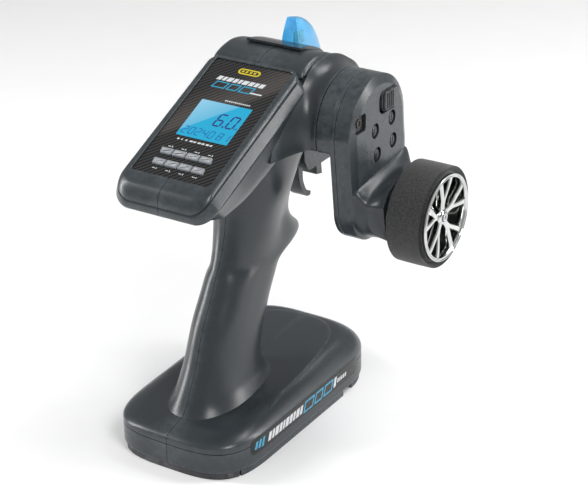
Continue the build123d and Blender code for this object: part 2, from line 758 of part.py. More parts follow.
# ---------------------------------------------------------------- steering shaft and wheel
shaft_axis = (POD_AXIS_Y, WHEEL_AXIS_Z)
for bush_name, bush_x, bush_length, bush_radius in (
    ("outer_bush", HOUSING_END_X - 5, 8.0, 6.0),
    ("inner_bush", POD_SPLIT_X + 4, 4.0, 7.0),
):
    with BuildPart() as bush:
        with BuildSketch(Plane.YZ.offset(bush_x)):
            with Locations(shaft_axis):
                Circle(bush_radius)
                Circle(SHAFT_RADIUS + 0.05, mode=Mode.SUBTRACT)
        extrude(amount=bush_length)
    save(bush, bush_name)

with BuildPart() as steering_shaft:
    with BuildSketch(Plane.YZ.offset(SHAFT_START_X)):
        with Locations(shaft_axis):
            Circle(SHAFT_RADIUS)
    extrude(amount=WHEEL_OUTER_X - 5 - SHAFT_START_X)
    with BuildSketch(Plane.YZ.offset(100)):
        with Locations(shaft_axis):
            Circle(1.25)
    extrude(amount=20, mode=Mode.SUBTRACT)
    with BuildSketch(Plane.YZ.offset(70)):
        with Locations(shaft_axis):
            Circle(6.5)
            Circle(SHAFT_RADIUS, mode=Mode.SUBTRACT)
    extrude(amount=2)
save(steering_shaft, "steering_shaft")

with BuildPart() as steering_sensor:
    with BuildSketch(Plane.YZ.offset(ARM_INNER_X + WALL)):
        with Locations(shaft_axis):
            RectangleRounded(16, 16, 2)
            Circle(SHAFT_RADIUS + 0.3, mode=Mode.SUBTRACT)
    extrude(amount=5)
save(steering_sensor, "steering_sensor")

with BuildPart() as steering_spring:
    for turn in range(4):
        with Locations(Plane.YZ.offset(74 + 1.7 * turn)):
            with Locations(shaft_axis):
                Torus(5.0, 0.7)
save(steering_spring, "steering_spring")

# a spoke leaves the hub as one arm and splits in two on its way to the rim
SPOKE_HALF = ((3, 1.6), (11, 1.6), (24.2, 6.6), (24.2, 3.4))
SPOKE_OUTLINE = SPOKE_HALF + ((13, 0),) + tuple((x, -y) for x, y in reversed(SPOKE_HALF))
with BuildPart() as wheel_rim:
    with BuildSketch(Plane.YZ.offset(WHEEL_INNER_X)):
        with Locations(shaft_axis):
            Circle(RIM_RADIUS - 1.2)
            Circle(RIM_RADIUS - 3.4, mode=Mode.SUBTRACT)
    extrude(amount=WHEEL_OUTER_X - WHEEL_INNER_X)
    with BuildSketch(Plane.YZ.offset(WHEEL_OUTER_X - 1.6)):
        with Locations(shaft_axis):
            Circle(RIM_RADIUS)
            Circle(RIM_RADIUS - 2.6, mode=Mode.SUBTRACT)
    extrude(amount=2.2)
    with BuildSketch(Plane.YZ.offset(WHEEL_OUTER_X - 6)):
        with Locations(shaft_axis):
            Circle(5.5)
            with PolarLocations(0, SPOKES):
                Polygon(*SPOKE_OUTLINE, align=None)
    extrude(amount=3.6)
    with BuildSketch(Plane.YZ.offset(WHEEL_INNER_X + 1)):
        with Locations(shaft_axis):
            Circle(5.5)
    extrude(amount=WHEEL_OUTER_X - WHEEL_INNER_X - 3)
    with BuildSketch(Plane.YZ.offset(WHEEL_INNER_X)):
        with Locations(shaft_axis):
            Circle(SHAFT_RADIUS)
    extrude(amount=18, mode=Mode.SUBTRACT)
    with BuildSketch(Plane.YZ.offset(WHEEL_INNER_X)):
        with Locations(shaft_axis):
            Circle(1.6)
    extrude(amount=40, mode=Mode.SUBTRACT)
save(wheel_rim, "wheel_rim")

with BuildPart() as foam_tyre:
    with BuildSketch(Plane.YZ.offset(WHEEL_INNER_X)):
        with Locations(shaft_axis):
            Circle(TYRE_RADIUS)
            Circle(RIM_RADIUS - 1.2, mode=Mode.SUBTRACT)
    extrude(amount=WHEEL_OUTER_X - WHEEL_INNER_X - 1.6)
    rims = edges().filter_by(GeomType.CIRCLE).filter_by(lambda e: e.radius > TYRE_RADIUS - 0.1)
    fillet(rims, radius=3.2)
save(foam_tyre, "foam_tyre")

with BuildPart() as wheel_screw:
    with BuildSketch(Plane.YZ.offset(WHEEL_OUTER_X - 2)):
        with Locations(shaft_axis):
            Circle(2.6)
    extrude(amount=1.6)
    with BuildSketch(Plane.YZ.offset(WHEEL_OUTER_X - 14)):
        with Locations(shaft_axis):
            Circle(1.25)
    extrude(amount=12)
    with BuildSketch(Plane.YZ.offset(WHEEL_OUTER_X - 1.4)):
        with Locations(shaft_axis):
            RegularPolygon(1.4, 6)
    extrude(amount=1.4, mode=Mode.SUBTRACT)
save(wheel_screw, "wheel_screw")
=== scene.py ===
"""Looks of a pistol-grip radio transmitter with a steering wheel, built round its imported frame."""
import json
from math import atan2, cos, exp, pi, radians, sin, sqrt

import bmesh
import bpy
from mathutils import Matrix, Vector

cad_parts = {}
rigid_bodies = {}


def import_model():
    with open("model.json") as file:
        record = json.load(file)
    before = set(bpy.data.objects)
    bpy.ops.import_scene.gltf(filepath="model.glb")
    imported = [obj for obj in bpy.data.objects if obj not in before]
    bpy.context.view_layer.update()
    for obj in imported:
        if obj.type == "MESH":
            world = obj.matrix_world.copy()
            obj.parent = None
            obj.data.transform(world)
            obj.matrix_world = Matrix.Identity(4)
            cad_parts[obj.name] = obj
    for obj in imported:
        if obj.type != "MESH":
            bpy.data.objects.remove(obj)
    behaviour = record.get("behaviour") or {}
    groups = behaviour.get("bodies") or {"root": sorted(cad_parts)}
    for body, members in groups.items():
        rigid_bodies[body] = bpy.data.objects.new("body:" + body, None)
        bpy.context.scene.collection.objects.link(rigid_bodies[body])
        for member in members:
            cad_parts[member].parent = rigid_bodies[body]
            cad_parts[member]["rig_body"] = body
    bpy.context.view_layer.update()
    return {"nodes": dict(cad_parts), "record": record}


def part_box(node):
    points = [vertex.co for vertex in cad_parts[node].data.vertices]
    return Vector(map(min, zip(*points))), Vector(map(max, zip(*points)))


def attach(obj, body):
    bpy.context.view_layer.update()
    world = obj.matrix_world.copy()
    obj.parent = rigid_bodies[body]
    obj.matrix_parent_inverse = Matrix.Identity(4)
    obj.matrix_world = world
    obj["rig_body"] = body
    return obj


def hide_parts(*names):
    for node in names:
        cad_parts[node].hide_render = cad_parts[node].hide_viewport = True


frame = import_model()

bl_info = {
    "name": "Radio Transmitter",
    "version": (1, 0, 0),
    "blender": (4, 5, 0),
    "location": "View3D > Sidebar > Transmitter",
    "description": "Builds the finished pieces of a pistol-grip radio transmitter round its frame",
    "category": "Object",
}

MM = 0.001


def box_mm(node):
    """Lowest and highest corner of a node, in millimetres."""
    low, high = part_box(node)
    return [value / MM for value in low], [value / MM for value in high]


def side_frame(low, high):
    """Centre and half size (Y, Z) of a box seen from the side."""
    return ((low[1] + high[1]) / 2, (low[2] + high[2]) / 2), ((high[1] - low[1]) / 2, (high[2] - low[2]) / 2)


# ---------------------------------------------------------------- sizes, in millimetres
BASE_HALF_WIDTH = 46.0
BASE_STRAIGHT = 36.5  # half length of the straight stretch of each side
BASE_END = 48.5  # depth of each bowed end
BASE_POWER = 3.5
BASE_BOTTOM = 4.0
SHOULDER_Z = 21.0
SHOULDER_INSET = 13.0
SHOULDER_POWER = 1.75
BASE_TOP = ((-90, 24.5), (-60, 28.0), (0, 31.5), (62, 34.4), (90, 30.5))
SEAM_Z = 17.7
SPLIT_GAP = 0.16  # half the gap between the two shells

PANEL_TILT = 23.7
PANEL_CENTRE = (-25.5, 201.7)
PANEL_HALF = (26.6, 48.0)

DRUM_Y, DRUM_Z = 43.5, 187.5  # centre of the pod's round top
DRUM_RADIUS = 32.2
DRUM_START_X = 46.0
ARM_START_X = box_mm("pod_screws")[1][0]
FACE_X = 70.3
BEVEL_START_X = 68.0
DRUM_FLOOR_Z = 178.5
HOUSING_END_X = 86.0

TYRE_LOW, TYRE_HIGH = box_mm("foam_tyre")
WHEEL_Y = (TYRE_LOW[1] + TYRE_HIGH[1]) / 2
WHEEL_Z = (TYRE_LOW[2] + TYRE_HIGH[2]) / 2
TYRE_RADIUS = (TYRE_HIGH[2] - TYRE_LOW[2]) / 2
RIM_RADIUS = 26.7
RIM_FACE_X = box_mm("wheel_rim")[1][0]

# height, rear Y, front Y and half width of the grip
GRIP_SECTIONS = (
    (20.0, -78.0, 42.0, 36.0),
    (27.0, -68.5, 25.0, 27.0),
    (32.0, -64.2, 12.5, 22.6),
    (38.0, -60.8, 6.6, 19.9),
    (52.0, -53.3, 5.5, 17.9),
    (75.0, -43.9, 15.0, 17.2),
    (92.0, -34.0, 25.5, 16.6),
    (97.5, -31.2, 30.0, 16.3),
    (101.0, -29.5, 37.0, 16.1),
    (103.5, -28.2, 47.0, 15.8),
    (106.5, -26.4, 54.2, 15.6),
    (109.5, -25.0, 54.6, 15.8),
    (114.0, -22.6, 49.5, 16.3),
    (120.0, -20.2, 43.5, 17.0),
    (128.0, -18.0, 40.0, 17.6),
    (140.0, -16.0, 40.5, 18.8),
    (154.0, -16.5, 46.0, 21.5),
    (166.0, -20.0, 51.0, 25.0),
    (176.0, -25.0, 55.0, 28.0),
)
GRIP_POWER = 2.35

HOOD_HALF_WIDTH = 31.8
HOOD_PROFILE = (
    (20.3, 218.0), (20.6, 220.0), (22.4, 222.0), (26, 223.8), (32, 225.5), (40, 226.4), (48, 225.3),
    (56, 222.6), (66, 217.7), (76, 210.5), (84, 202), (90, 192.5), (92, 185), (90, 179.5), (85, 177.2),
    (79, 178), (79, 186), (73, 196), (63, 206), (50, 213), (38, 215.5), (26, 215),
)
CORE_PROFILE = (
    (9, 177.1), (84, 177.1), (89, 180.5), (90.8, 187), (88, 195), (81.5, 203.5), (72, 212),
    (60, 218.5), (46, 222.5), (34, 223), (24, 219), (20, 208), (14, 192),
)
# angle round the drum's centre and how far out the boss's foot reaches there
BOSS_FOOT = (
    (-90, 44), (-30, 44), (0, 45.5), (25, 43.5), (50, 38.8), (90, 37.6), (112, 37.8), (126, 36.6), (135, 36.0),
    (144, 38.0), (155, 43.6), (165, 48.6), (176, 54.2), (187, 60.2), (215, 62), (270, 50),
)
BOSS_FOOT_X = 32.6
BOSS_END_X = 45.7


# ---------------------------------------------------------------- curves and outlines
def curve_value(table, at):
    """Smooth value through a table of (place, value) pairs."""
    places = [row[0] for row in table]
    if at <= places[0]:
        return table[0][1]
    if at >= places[-1]:
        return table[-1][1]
    k = max(index for index, place in enumerate(places[:-1]) if place <= at)

    def slope(i):
        before, after = max(i - 1, 0), min(i + 1, len(table) - 1)
        return (table[after][1] - table[before][1]) / (places[after] - places[before])

    span = places[k + 1] - places[k]
    t = (at - places[k]) / span
    start, end = table[k][1], table[k + 1][1]
    return (
        start * (2 * t**3 - 3 * t**2 + 1)
        + slope(k) * span * (t**3 - 2 * t**2 + t)
        + end * (3 * t**2 - 2 * t**3)
        + slope(k + 1) * span * (t**3 - t**2)
    )


def smooth_step(low, high, value):
    """0 below low, 1 above high, smooth between them."""
    t = min(max((value - low) / (high - low), 0.0), 1.0)
    return t * t * (3 - 2 * t)


def smooth_loop(points, steps=4):
    """Closed curve through the points, as a list of points."""
    count = len(points)
    result = []
    for k in range(count):
        before, start, end, after = (points[(k + shift) % count] for shift in (-1, 0, 1, 2))
        for step in range(steps):
            t = step / steps
            result.append(tuple(
                0.5 * (2 * b + (c - a) * t + (2 * a - 5 * b + 4 * c - d) * t * t
                       + (3 * b - a - 3 * c + d) * t**3)
                for a, b, c, d in zip(before, start, end, after)
            ))
    return result


def inset_loop(loop, amount):
    """The closed flat loop moved inwards by the amount. The loop's area gives its sense of turn."""
    count = len(loop)
    area = sum(loop[k][0] * loop[(k + 1) % count][1] - loop[(k + 1) % count][0] * loop[k][1]
               for k in range(count))
    turn = 1 if area > 0 else -1
    moved = []
    for k in range(count):
        before, here, after = Vector(loop[k - 1]), Vector(loop[k]), Vector(loop[(k + 1) % count])
        first, second = (here - before).normalized(), (after - here).normalized()
        along = (first + second).normalized()
        lean = max(along.dot(second), 0.5)
        inward = Vector((-along.y, along.x)) * turn
        moved.append(tuple(here + inward * (amount / lean)))
    return moved


def panel_point(x, along, above):
    """Point given across the display panel, up it and above it."""
    tilt = radians(PANEL_TILT)
    return (
        x,
        PANEL_CENTRE[0] + along * cos(tilt) - above * sin(tilt),
        PANEL_CENTRE[1] + along * sin(tilt) + above * cos(tilt),
    )


def base_loop(inset):
    """Footprint of the base as points round it, starting at the rear middle and turning by +X."""
    width, depth = BASE_HALF_WIDTH - inset, BASE_END - inset
    power = 2 / BASE_POWER
    arc = []
    for step in range(21):
        angle = (1 - step / 20) * pi / 2
        across = width * cos(angle) ** power if step else 0.0
        out = depth * sin(angle) ** power if step < 20 else 0.0
        arc.append((across, out))
    rear = [(x, -BASE_STRAIGHT - y) for x, y in arc]
    side = [(width, -BASE_STRAIGHT + 2 * BASE_STRAIGHT * step / 10) for step in range(1, 10)]
    front = [(x, BASE_STRAIGHT + y) for x, y in reversed(arc)]
    right = rear + side + front
    left = [(-x, y) for x, y in reversed(right[1:-1])]
    return right + left


def base_inset_at(x, y):
    """How far a point lies inside the base's footprint."""
    beyond = max(abs(y) - BASE_STRAIGHT, 0.0)
    low, high = 0.0, BASE_HALF_WIDTH - 0.5
    for _ in range(24):
        middle = (low + high) / 2
        level = (abs(x) / (BASE_HALF_WIDTH - middle)) ** BASE_POWER
        level += (beyond / (BASE_END - middle)) ** BASE_POWER
        if level > 1:
            high = middle
        else:
            low = middle
    return low


def base_height(inset, y):
    """Height of the base's top at a distance inside its footprint."""
    top = curve_value(BASE_TOP, y)
    reach = max(1 - inset / SHOULDER_INSET, 0.0)
    return SHOULDER_Z + (top - SHOULDER_Z) * (1 - reach**SHOULDER_POWER) ** (1 / SHOULDER_POWER)


def grip_section(z):
    """Centre Y, half depth and half width of the grip at a height."""
    rear, front, width = (curve_value([(row[0], row[k]) for row in GRIP_SECTIONS], z) for k in (1, 2, 3))
    return (rear + front) / 2, (front - rear) / 2, width


def grip_point(z, angle):
    """Point on the grip's surface. The angle starts at the rear middle and turns by +X."""
    middle, depth, width = grip_section(z)
    side, back = sin(angle), -cos(angle)
    power = 2 / GRIP_POWER
    x = width * (abs(side) ** power) * (1 if side >= 0 else -1)
    y = middle + depth * (abs(back) ** power) * (1 if back >= 0 else -1)
    swell = 2.6 * exp(-((y - 8) / 15) ** 2 - ((z - 147) / 12) ** 2)
    hollow = 2.4 * exp(-((y - 24) / 10) ** 2 - ((z - 122) / 12) ** 2)
    waist = 1.0 * exp(-((y - middle) / 16) ** 2 - ((z - 88) / 26) ** 2)
    x += (swell - hollow - waist) * side
    return x, y, z


def drum_circle(radius, x, steps=96, floor=None):
    """Circle round the drum's centre, cut flat at the floor."""
    ring = []
    for step in range(steps):
        angle = 2 * pi * step / steps
        z = DRUM_Z + radius * sin(angle)
        ring.append((x, DRUM_Y + radius * cos(angle), z if floor is None else max(z, floor)))
    return ring


def pod_loop():
    """Side view (Y, Z) of the pod, from its rear, over the top, down the front and back."""
    loop = []
    for step in range(41):
        angle = pi - pi * step / 40
        loop.append((DRUM_Y + DRUM_RADIUS * cos(angle), DRUM_Z + DRUM_RADIUS * sin(angle)))
    front = DRUM_Y + DRUM_RADIUS
    for step in range(1, 6):
        z = DRUM_Z - (DRUM_Z - 138) * step / 6
        loop.append((front + 2.2 * smooth_step(DRUM_Z, 166, z) - 2.2 * smooth_step(158, 139, z), z))
    for step in range(13):
        angle = -pi / 2 * step / 12
        loop.append((front - 20 + 20 * cos(angle), 138 + 19.5 * sin(angle)))
    loop += [(front - 20 - (front - 58) * step / 4, 118.5) for step in range(1, 4)]
    for step in range(13):
        angle = -pi / 2 - pi / 2 * step / 12
        loop.append((38 + 22 * cos(angle), 141 + 22.5 * sin(angle)))
    rear = DRUM_Y - DRUM_RADIUS
    loop += [(16 + (rear - 16) * step / 6, 141 + (DRUM_Z - 141) * step / 6) for step in range(1, 6)]
    return loop


def side_rings(loop, stations):
    """Rings of a side view (Y, Z), one for each (X, inset)."""
    return [[(x, y, z) for y, z in inset_loop(loop, inset)] for x, inset in stations]


def ellipse_loop(middle, half, share=1.0, steps=40):
    """Ellipse as a flat loop."""
    turns = [2 * pi * k / steps for k in range(steps)]
    return [(middle[0] + half[0] * share * cos(turn), middle[1] + half[1] * share * sin(turn)) for turn in turns]


def on_side(u, v, height):
    """Point on the pod's side face: Y, Z and how far out in X."""
    return height, u, v


# ---------------------------------------------------------------- meshes
class Form:
    """Closed shapes gathered for one piece, in millimetres."""

    def __init__(self):
        self.points = []
        self.faces = []
        self.finish = []

    def add_face(self, corners, finish):
        """One face, without repeated corners."""
        corners = tuple(dict.fromkeys(corners))
        if len(corners) > 2:
            self.faces.append(corners)
            self.finish.append(finish)

    def add(self, shape):
        """Takes in the faces of another form."""
        shift = len(self.points)
        self.points.extend(shape.points)
        self.faces.extend(tuple(corner + shift for corner in face) for face in shape.faces)
        self.finish.extend(shape.finish)

    def loft(self, rings, finish=0, ladder=False, wrap=False):
        """Skin over rings of equal length. The ends are closed, unless the last ring joins the first."""
        start, count = len(self.points), len(rings[0])
        for ring in rings:
            self.points.extend(ring)
        total = len(rings)
        for row in range(total if wrap else total - 1):
            near, far = start + row * count, start + (row + 1) % total * count
            for k in range(count):
                after = (k + 1) % count
                self.add_face((near + k, near + after, far + after, far + k), finish)
        if wrap:
            return self
        for first in (start, start + (total - 1) * count):
            if ladder:
                for k in range(count // 2):
                    corners = (k, k + 1, count - k - 1, (count - k) % count)
                    self.add_face([first + corner for corner in corners], finish)
            else:
                self.add_face(range(first, first + count), finish)
        return self

    def lathe(self, profile, y, z, steps=96, finish=0):
        """Closed profile of (X, radius) points turned round an X axis."""
        rings = []
        for step in range(steps):
            angle = 2 * pi * step / steps
            rings.append([(x, y + r * cos(angle), z + r * sin(angle)) for x, r in profile])
        return self.loft(rings, finish, wrap=True)

    def slab(self, outline, place, low, high, finish=0, edge=0.0):
        """Flat outline raised from low to high. place(u, v, height) gives each point."""
        rings = [[place(u, v, low) for u, v in outline]]
        if edge:
            rings.append([place(u, v, high - edge) for u, v in outline])
            rings.append([place(u, v, high) for u, v in inset_loop(outline, edge)])
        else:
            rings.append([place(u, v, high) for u, v in outline])
        return self.loft(rings, finish)


def mesh_of(name, form):
    """Mesh in metres with merged points and faces that look outwards."""
    mesh = bpy.data.meshes.new(name)
    mesh.from_pydata([tuple(value * MM for value in point) for point in form.points], [], form.faces)
    mesh.polygons.foreach_set("material_index", form.finish)
    work = bmesh.new()
    work.from_mesh(mesh)
    bmesh.ops.remove_doubles(work, verts=work.verts, dist=0.002 * MM)
    bmesh.ops.dissolve_degenerate(work, edges=work.edges, dist=0.001 * MM)
    bmesh.ops.recalc_face_normals(work, faces=work.faces)
    work.to_mesh(mesh)
    work.free()
    return mesh


def half_of(mesh, side):
    """Keeps the half of a mesh on one side of the split plane and closes the cut."""
    work = bmesh.new()
    work.from_mesh(mesh)
    everything = work.verts[:] + work.edges[:] + work.faces[:]
    cut = bmesh.ops.bisect_plane(
        work, geom=everything, dist=0.0005 * MM, plane_co=(side * SPLIT_GAP * MM, 0, 0),
        plane_no=(-side, 0, 0), clear_outer=True,
    )
    rims = [item for item in cut["geom_cut"] if isinstance(item, bmesh.types.BMEdge)]
    bmesh.ops.holes_fill(work, edges=rims, sides=0)
    bmesh.ops.recalc_face_normals(work, faces=work.faces)
    work.to_mesh(mesh)
    work.free()
    return mesh


def evaluated_mesh(piece):
    """The piece's mesh with its modifiers applied."""
    bpy.context.view_layer.update()
    depsgraph = bpy.context.evaluated_depsgraph_get()
    return bpy.data.meshes.new_from_object(piece.evaluated_get(depsgraph))


def place_mesh(name, mesh, finishes, body, slot, bevel=0.0, replaces=(), segments=2, angle=35, cutters=()):
    """Finished piece from a mesh: cut, bevelled, shaded, and joined to its body."""
    piece = bpy.data.objects.new(name, mesh)
    bpy.context.scene.collection.objects.link(piece)
    for finish in finishes:
        if finish.name not in mesh.materials:
            mesh.materials.append(finish)
    for cutter in cutters:
        tool = piece.modifiers.new("cut", "BOOLEAN")
        tool.operation = "DIFFERENCE"
        tool.solver = "EXACT"
        tool.object = cutter
    if bevel:
        edge = piece.modifiers.new("edge", "BEVEL")
        edge.width = bevel * MM
        edge.segments = segments
        edge.limit_method = "ANGLE"
        edge.angle_limit = radians(30)
        edge.use_clamp_overlap = True
    if cutters or bevel:
        done = evaluated_mesh(piece)
        piece.modifiers.clear()
        piece.data = done
    for cutter in cutters:
        bpy.data.objects.remove(cutter)
    shaded = piece.data
    shaded.name = name
    shaded.polygons.foreach_set("use_smooth", [True] * len(shaded.polygons))
    shaded.set_sharp_from_angle(angle=radians(angle))
    weighted = piece.modifiers.new("normals", "WEIGHTED_NORMAL")
    weighted.keep_sharp = True
    piece.data = evaluated_mesh(piece)
    piece.modifiers.clear()
    piece.data.name = name
    if replaces:
        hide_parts(*replaces)
    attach(piece, body)
    return piece


def place_form(name, form, finishes, body, slot, **options):
    """Finished piece from a form."""
    return place_mesh(name, mesh_of(name, form), finishes, body, slot, **options)


def dress(node, form, body="frame", finishes=(), **options):
    """Finished piece from a form that stands for one CAD node, by default in the finish of the node's slot."""
    slot = node_slot(node)
    return place_form(node + "_finished", form, finishes or [finish_named(slot)], body, slot,
                      replaces=[node], **options)


def cutter_of(form):
    """Tool that cuts a form's shape out of a piece."""
    tool = bpy.data.objects.new("cutter", mesh_of("cutter", form))
    bpy.context.scene.collection.objects.link(tool)
    return tool


def node_slot(node):
    """Material slot of a CAD node."""
    return next(part["material_slot"] for part in frame["record"]["subparts"] if part["node"] == node)


def dressed_node(node, bevel, finish, segments=2):
    """Bevelled copy of a CAD node in its own finish."""
    source = frame["nodes"][node]
    work = bmesh.new()
    work.from_mesh(source.data)
    bmesh.ops.remove_doubles(work, verts=work.verts, dist=0.004 * MM)
    bmesh.ops.dissolve_limit(work, angle_limit=radians(1), verts=work.verts, edges=work.edges)
    mesh = bpy.data.meshes.new(node + "_finished")
    work.to_mesh(mesh)
    work.free()
    body = source["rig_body"]
    return place_mesh(node + "_finished", mesh, [finish], body, node_slot(node), bevel=bevel,
                      segments=segments, replaces=[node])


# ---------------------------------------------------------------- geometry nodes
def copies_tree():
    """Geometry Nodes tree that copies a mesh along a row, round a centre, or both."""
    tree = bpy.data.node_groups.new("copies", "GeometryNodeTree")
    for label, kind in (("Geometry", "Geometry"), ("Count", "Int"), ("Start", "Vector"), ("Step", "Vector"),
                        ("Turn", "Vector"), ("Material", "Material")):
        tree.interface.new_socket(label, in_out="INPUT", socket_type="NodeSocket" + kind)
    tree.interface.new_socket("Geometry", in_out="OUTPUT", socket_type="NodeSocketGeometry")
    nodes, links = tree.nodes, tree.links
    entry = nodes.new("NodeGroupInput")
    index = nodes.new("GeometryNodeInputIndex")
    places = nodes.new("GeometryNodePoints")
    along = nodes.new("ShaderNodeVectorMath")
    along.operation = "MULTIPLY_ADD"
    turned = nodes.new("ShaderNodeVectorMath")
    turned.operation = "SCALE"
    spread = nodes.new("GeometryNodeInstanceOnPoints")
    real = nodes.new("GeometryNodeRealizeInstances")
    paint = nodes.new("GeometryNodeSetMaterial")
    leave = nodes.new("NodeGroupOutput")
    for source, output, target, inlet in (
        (index, "Index", along, 0), (entry, "Step", along, 1), (entry, "Start", along, 2),
        (entry, "Turn", turned, 0), (index, "Index", turned, "Scale"), (entry, "Count", places, "Count"),
        (along, "Vector", places, "Position"), (places, 0, spread, "Points"),
        (entry, "Geometry", spread, "Instance"), (turned, "Vector", spread, "Rotation"),
        (spread, "Instances", real, "Geometry"), (real, "Geometry", paint, "Geometry"),
        (entry, "Material", paint, "Material"), (paint, "Geometry", leave, "Geometry"),
    ):
        links.new(source.outputs[output], target.inputs[inlet])
    return tree


def copied_mesh(mesh, count, start, step, turn, finish):
    """The mesh repeated by the copies tree. Places are in millimetres and turns in degrees."""
    tree = bpy.data.node_groups.get("copies") or copies_tree()
    source = bpy.data.objects.new("source", mesh)
    bpy.context.scene.collection.objects.link(source)
    repeat = source.modifiers.new("copies", "NODES")
    repeat.node_group = tree
    sockets = {item.name: item.identifier for item in tree.interface.items_tree if item.in_out == "INPUT"}
    repeat[sockets["Count"]] = count
    repeat[sockets["Start"]] = [value * MM for value in start]
    repeat[sockets["Step"]] = [value * MM for value in step]
    repeat[sockets["Turn"]] = [radians(value) for value in turn]
    repeat[sockets["Material"]] = finish
    result = evaluated_mesh(source)
    bpy.data.objects.remove(source)
    return result


# ---------------------------------------------------------------- materials
class Finish:
    """A node tree and the short calls that its maker needs."""

    def __init__(self, tree):
        self.tree = tree

    def node(self, kind, inputs=None, **settings):
        made = self.tree.nodes.new(kind)
        for key, value in settings.items():
            setattr(made, key, value)
        for key, value in (inputs or {}).items():
            if isinstance(value, bpy.types.NodeSocket):
                self.tree.links.new(value, made.inputs[key])
            else:
                made.inputs[key].default_value = value
        return made

    def feed(self, target, socket, value):
        self.tree.links.new(value, target.inputs[socket])

    def maths(self, operation, first, second=0.0):
        made = self.node("ShaderNodeMath", {0: first, 1: second}, operation=operation)
        return made.outputs[0]

    def mix(self, factor, first, second):
        made = self.node("ShaderNodeMix", {0: factor, 6: first, 7: second}, data_type="RGBA")
        return made.outputs[2]

    def ramp(self, value, low, high, start=0.0, end=1.0):
        made = self.node("ShaderNodeMapRange", {0: value, 1: low, 2: high, 3: start, 4: end})
        return made.outputs[0]

    def noise(self, place, scale, detail=2.0, rough=0.5):
        made = self.node("ShaderNodeTexNoise",
                         {"Vector": place, "Scale": scale, "Detail": detail, "Roughness": rough})
        return made.outputs["Fac"]


def shader_group(name, inputs, outputs):
    """New shader group with named sockets, ready to be filled."""
    tree = bpy.data.node_groups.new(name, "ShaderNodeTree")
    for label, kind, default in inputs:
        socket = tree.interface.new_socket(label, in_out="INPUT", socket_type=kind)
        if default is not None:
            socket.default_value = default
    for label, kind in outputs:
        tree.interface.new_socket(label, in_out="OUTPUT", socket_type=kind)
    group = Finish(tree)
    return group, group.node("NodeGroupInput"), group.node("NodeGroupOutput")


FLOAT, COLOUR, VECTOR = "NodeSocketFloat", "NodeSocketColor", "NodeSocketVector"


def moulded_skin_group():
    """Spark-eroded mould grain with faint flow marks and hand polish."""
    group, entry, leave = shader_group(
        "moulded_skin",
        [("Place", VECTOR, None), ("Grain Size", FLOAT, 2600.0), ("Colour", COLOUR, (0.05, 0.05, 0.05, 1)),
         ("Roughness", FLOAT, 0.4)],
        [("Colour", COLOUR), ("Roughness", FLOAT), ("Height", FLOAT)],
    )
    place = entry.outputs["Place"]
    grain = group.noise(place, entry.outputs["Grain Size"], 2.0, 0.6)
    cloud = group.noise(place, 45.0, 3.0, 0.6)
    touch = group.noise(place, 140.0, 4.0, 0.65)
    dark = group.mix(0.35, entry.outputs["Colour"], (0.0, 0.0, 0.0, 1))
    colour = group.mix(group.ramp(cloud, 0.3, 0.7, 0.0, 0.1), entry.outputs["Colour"], dark)
    speck = group.maths("MULTIPLY", group.ramp(touch, 0.6, 0.8), 0.012)
    colour = group.mix(speck, colour, (0.3, 0.31, 0.32, 1))
    offset = group.maths("ADD", group.ramp(touch, 0.3, 0.7, -0.018, 0.018),
                         group.ramp(grain, 0.3, 0.7, -0.02, 0.02))
    rough = group.maths("ADD", entry.outputs["Roughness"], offset)
    group.feed(leave, "Colour", colour)
    group.feed(leave, "Roughness", rough)
    group.feed(leave, "Height", grain)
    return group.tree


def edge_wear_group():
    """Lighter, smoother rubbed edges, broken up by noise."""
    group, entry, leave = shader_group(
        "edge_wear",
        [("Place", VECTOR, None), ("Colour", COLOUR, (0.05, 0.05, 0.05, 1)),
         ("Worn Colour", COLOUR, (0.2, 0.2, 0.2, 1)), ("Amount", FLOAT, 0.4)],
        [("Colour", COLOUR), ("Mask", FLOAT)],
    )
    shape = group.node("ShaderNodeNewGeometry")
    edge = group.ramp(shape.outputs["Pointiness"], 0.505, 0.56)
    patch = group.ramp(group.noise(entry.outputs["Place"], 260.0, 4.0, 0.7), 0.3, 0.65)
    mask = group.maths("MULTIPLY", group.maths("MULTIPLY", edge, patch), entry.outputs["Amount"])
    group.feed(leave, "Colour", group.mix(mask, entry.outputs["Colour"], entry.outputs["Worn Colour"]))
    group.feed(leave, "Mask", mask)
    return group.tree


def twill_group():
    """Two-over-two twill of flat tows: which way each tow runs, and its crown."""
    group, entry, leave = shader_group(
        "twill_weave", [("Place", VECTOR, None), ("Tow", FLOAT, 0.0012)], [("Mask", FLOAT), ("Height", FLOAT)],
    )
    split = group.node("ShaderNodeSeparateXYZ", {0: entry.outputs["Place"]})
    across = group.maths("DIVIDE", split.outputs[0], entry.outputs["Tow"])
    along = group.maths("DIVIDE", split.outputs[1], entry.outputs["Tow"])
    cell = group.maths("SUBTRACT", group.maths("FLOOR", across), group.maths("FLOOR", along))
    turn = group.maths("FLOORED_MODULO", cell, 4.0)
    warp = group.maths("LESS_THAN", turn, 1.5)
    crown_x, crown_y = (
        group.maths("ABSOLUTE", group.maths("SINE", group.maths("MULTIPLY", way, pi))) for way in (across, along))
    height = group.node("ShaderNodeMix", {0: warp, 2: crown_y, 3: crown_x}).outputs[0]
    group.feed(leave, "Mask", warp)
    group.feed(leave, "Height", height)
    return group.tree


def group_named(name):
    """Shader group, made the first time it is asked for."""
    makers = {"moulded_skin": moulded_skin_group, "edge_wear": edge_wear_group, "twill_weave": twill_group}
    return bpy.data.node_groups.get(name) or makers[name]()


def new_finish(name, constants):
    """Material with a Principled shader whose constants are set on its own sockets."""
    material = bpy.data.materials.new(name)
    material.use_nodes = True
    finish = Finish(material.node_tree)
    shader = material.node_tree.nodes["Principled BSDF"]
    for key, value in constants.items():
        shader.inputs[key].default_value = value
    place = finish.node("ShaderNodeTexCoord").outputs["Object"]
    return material, finish, shader, place


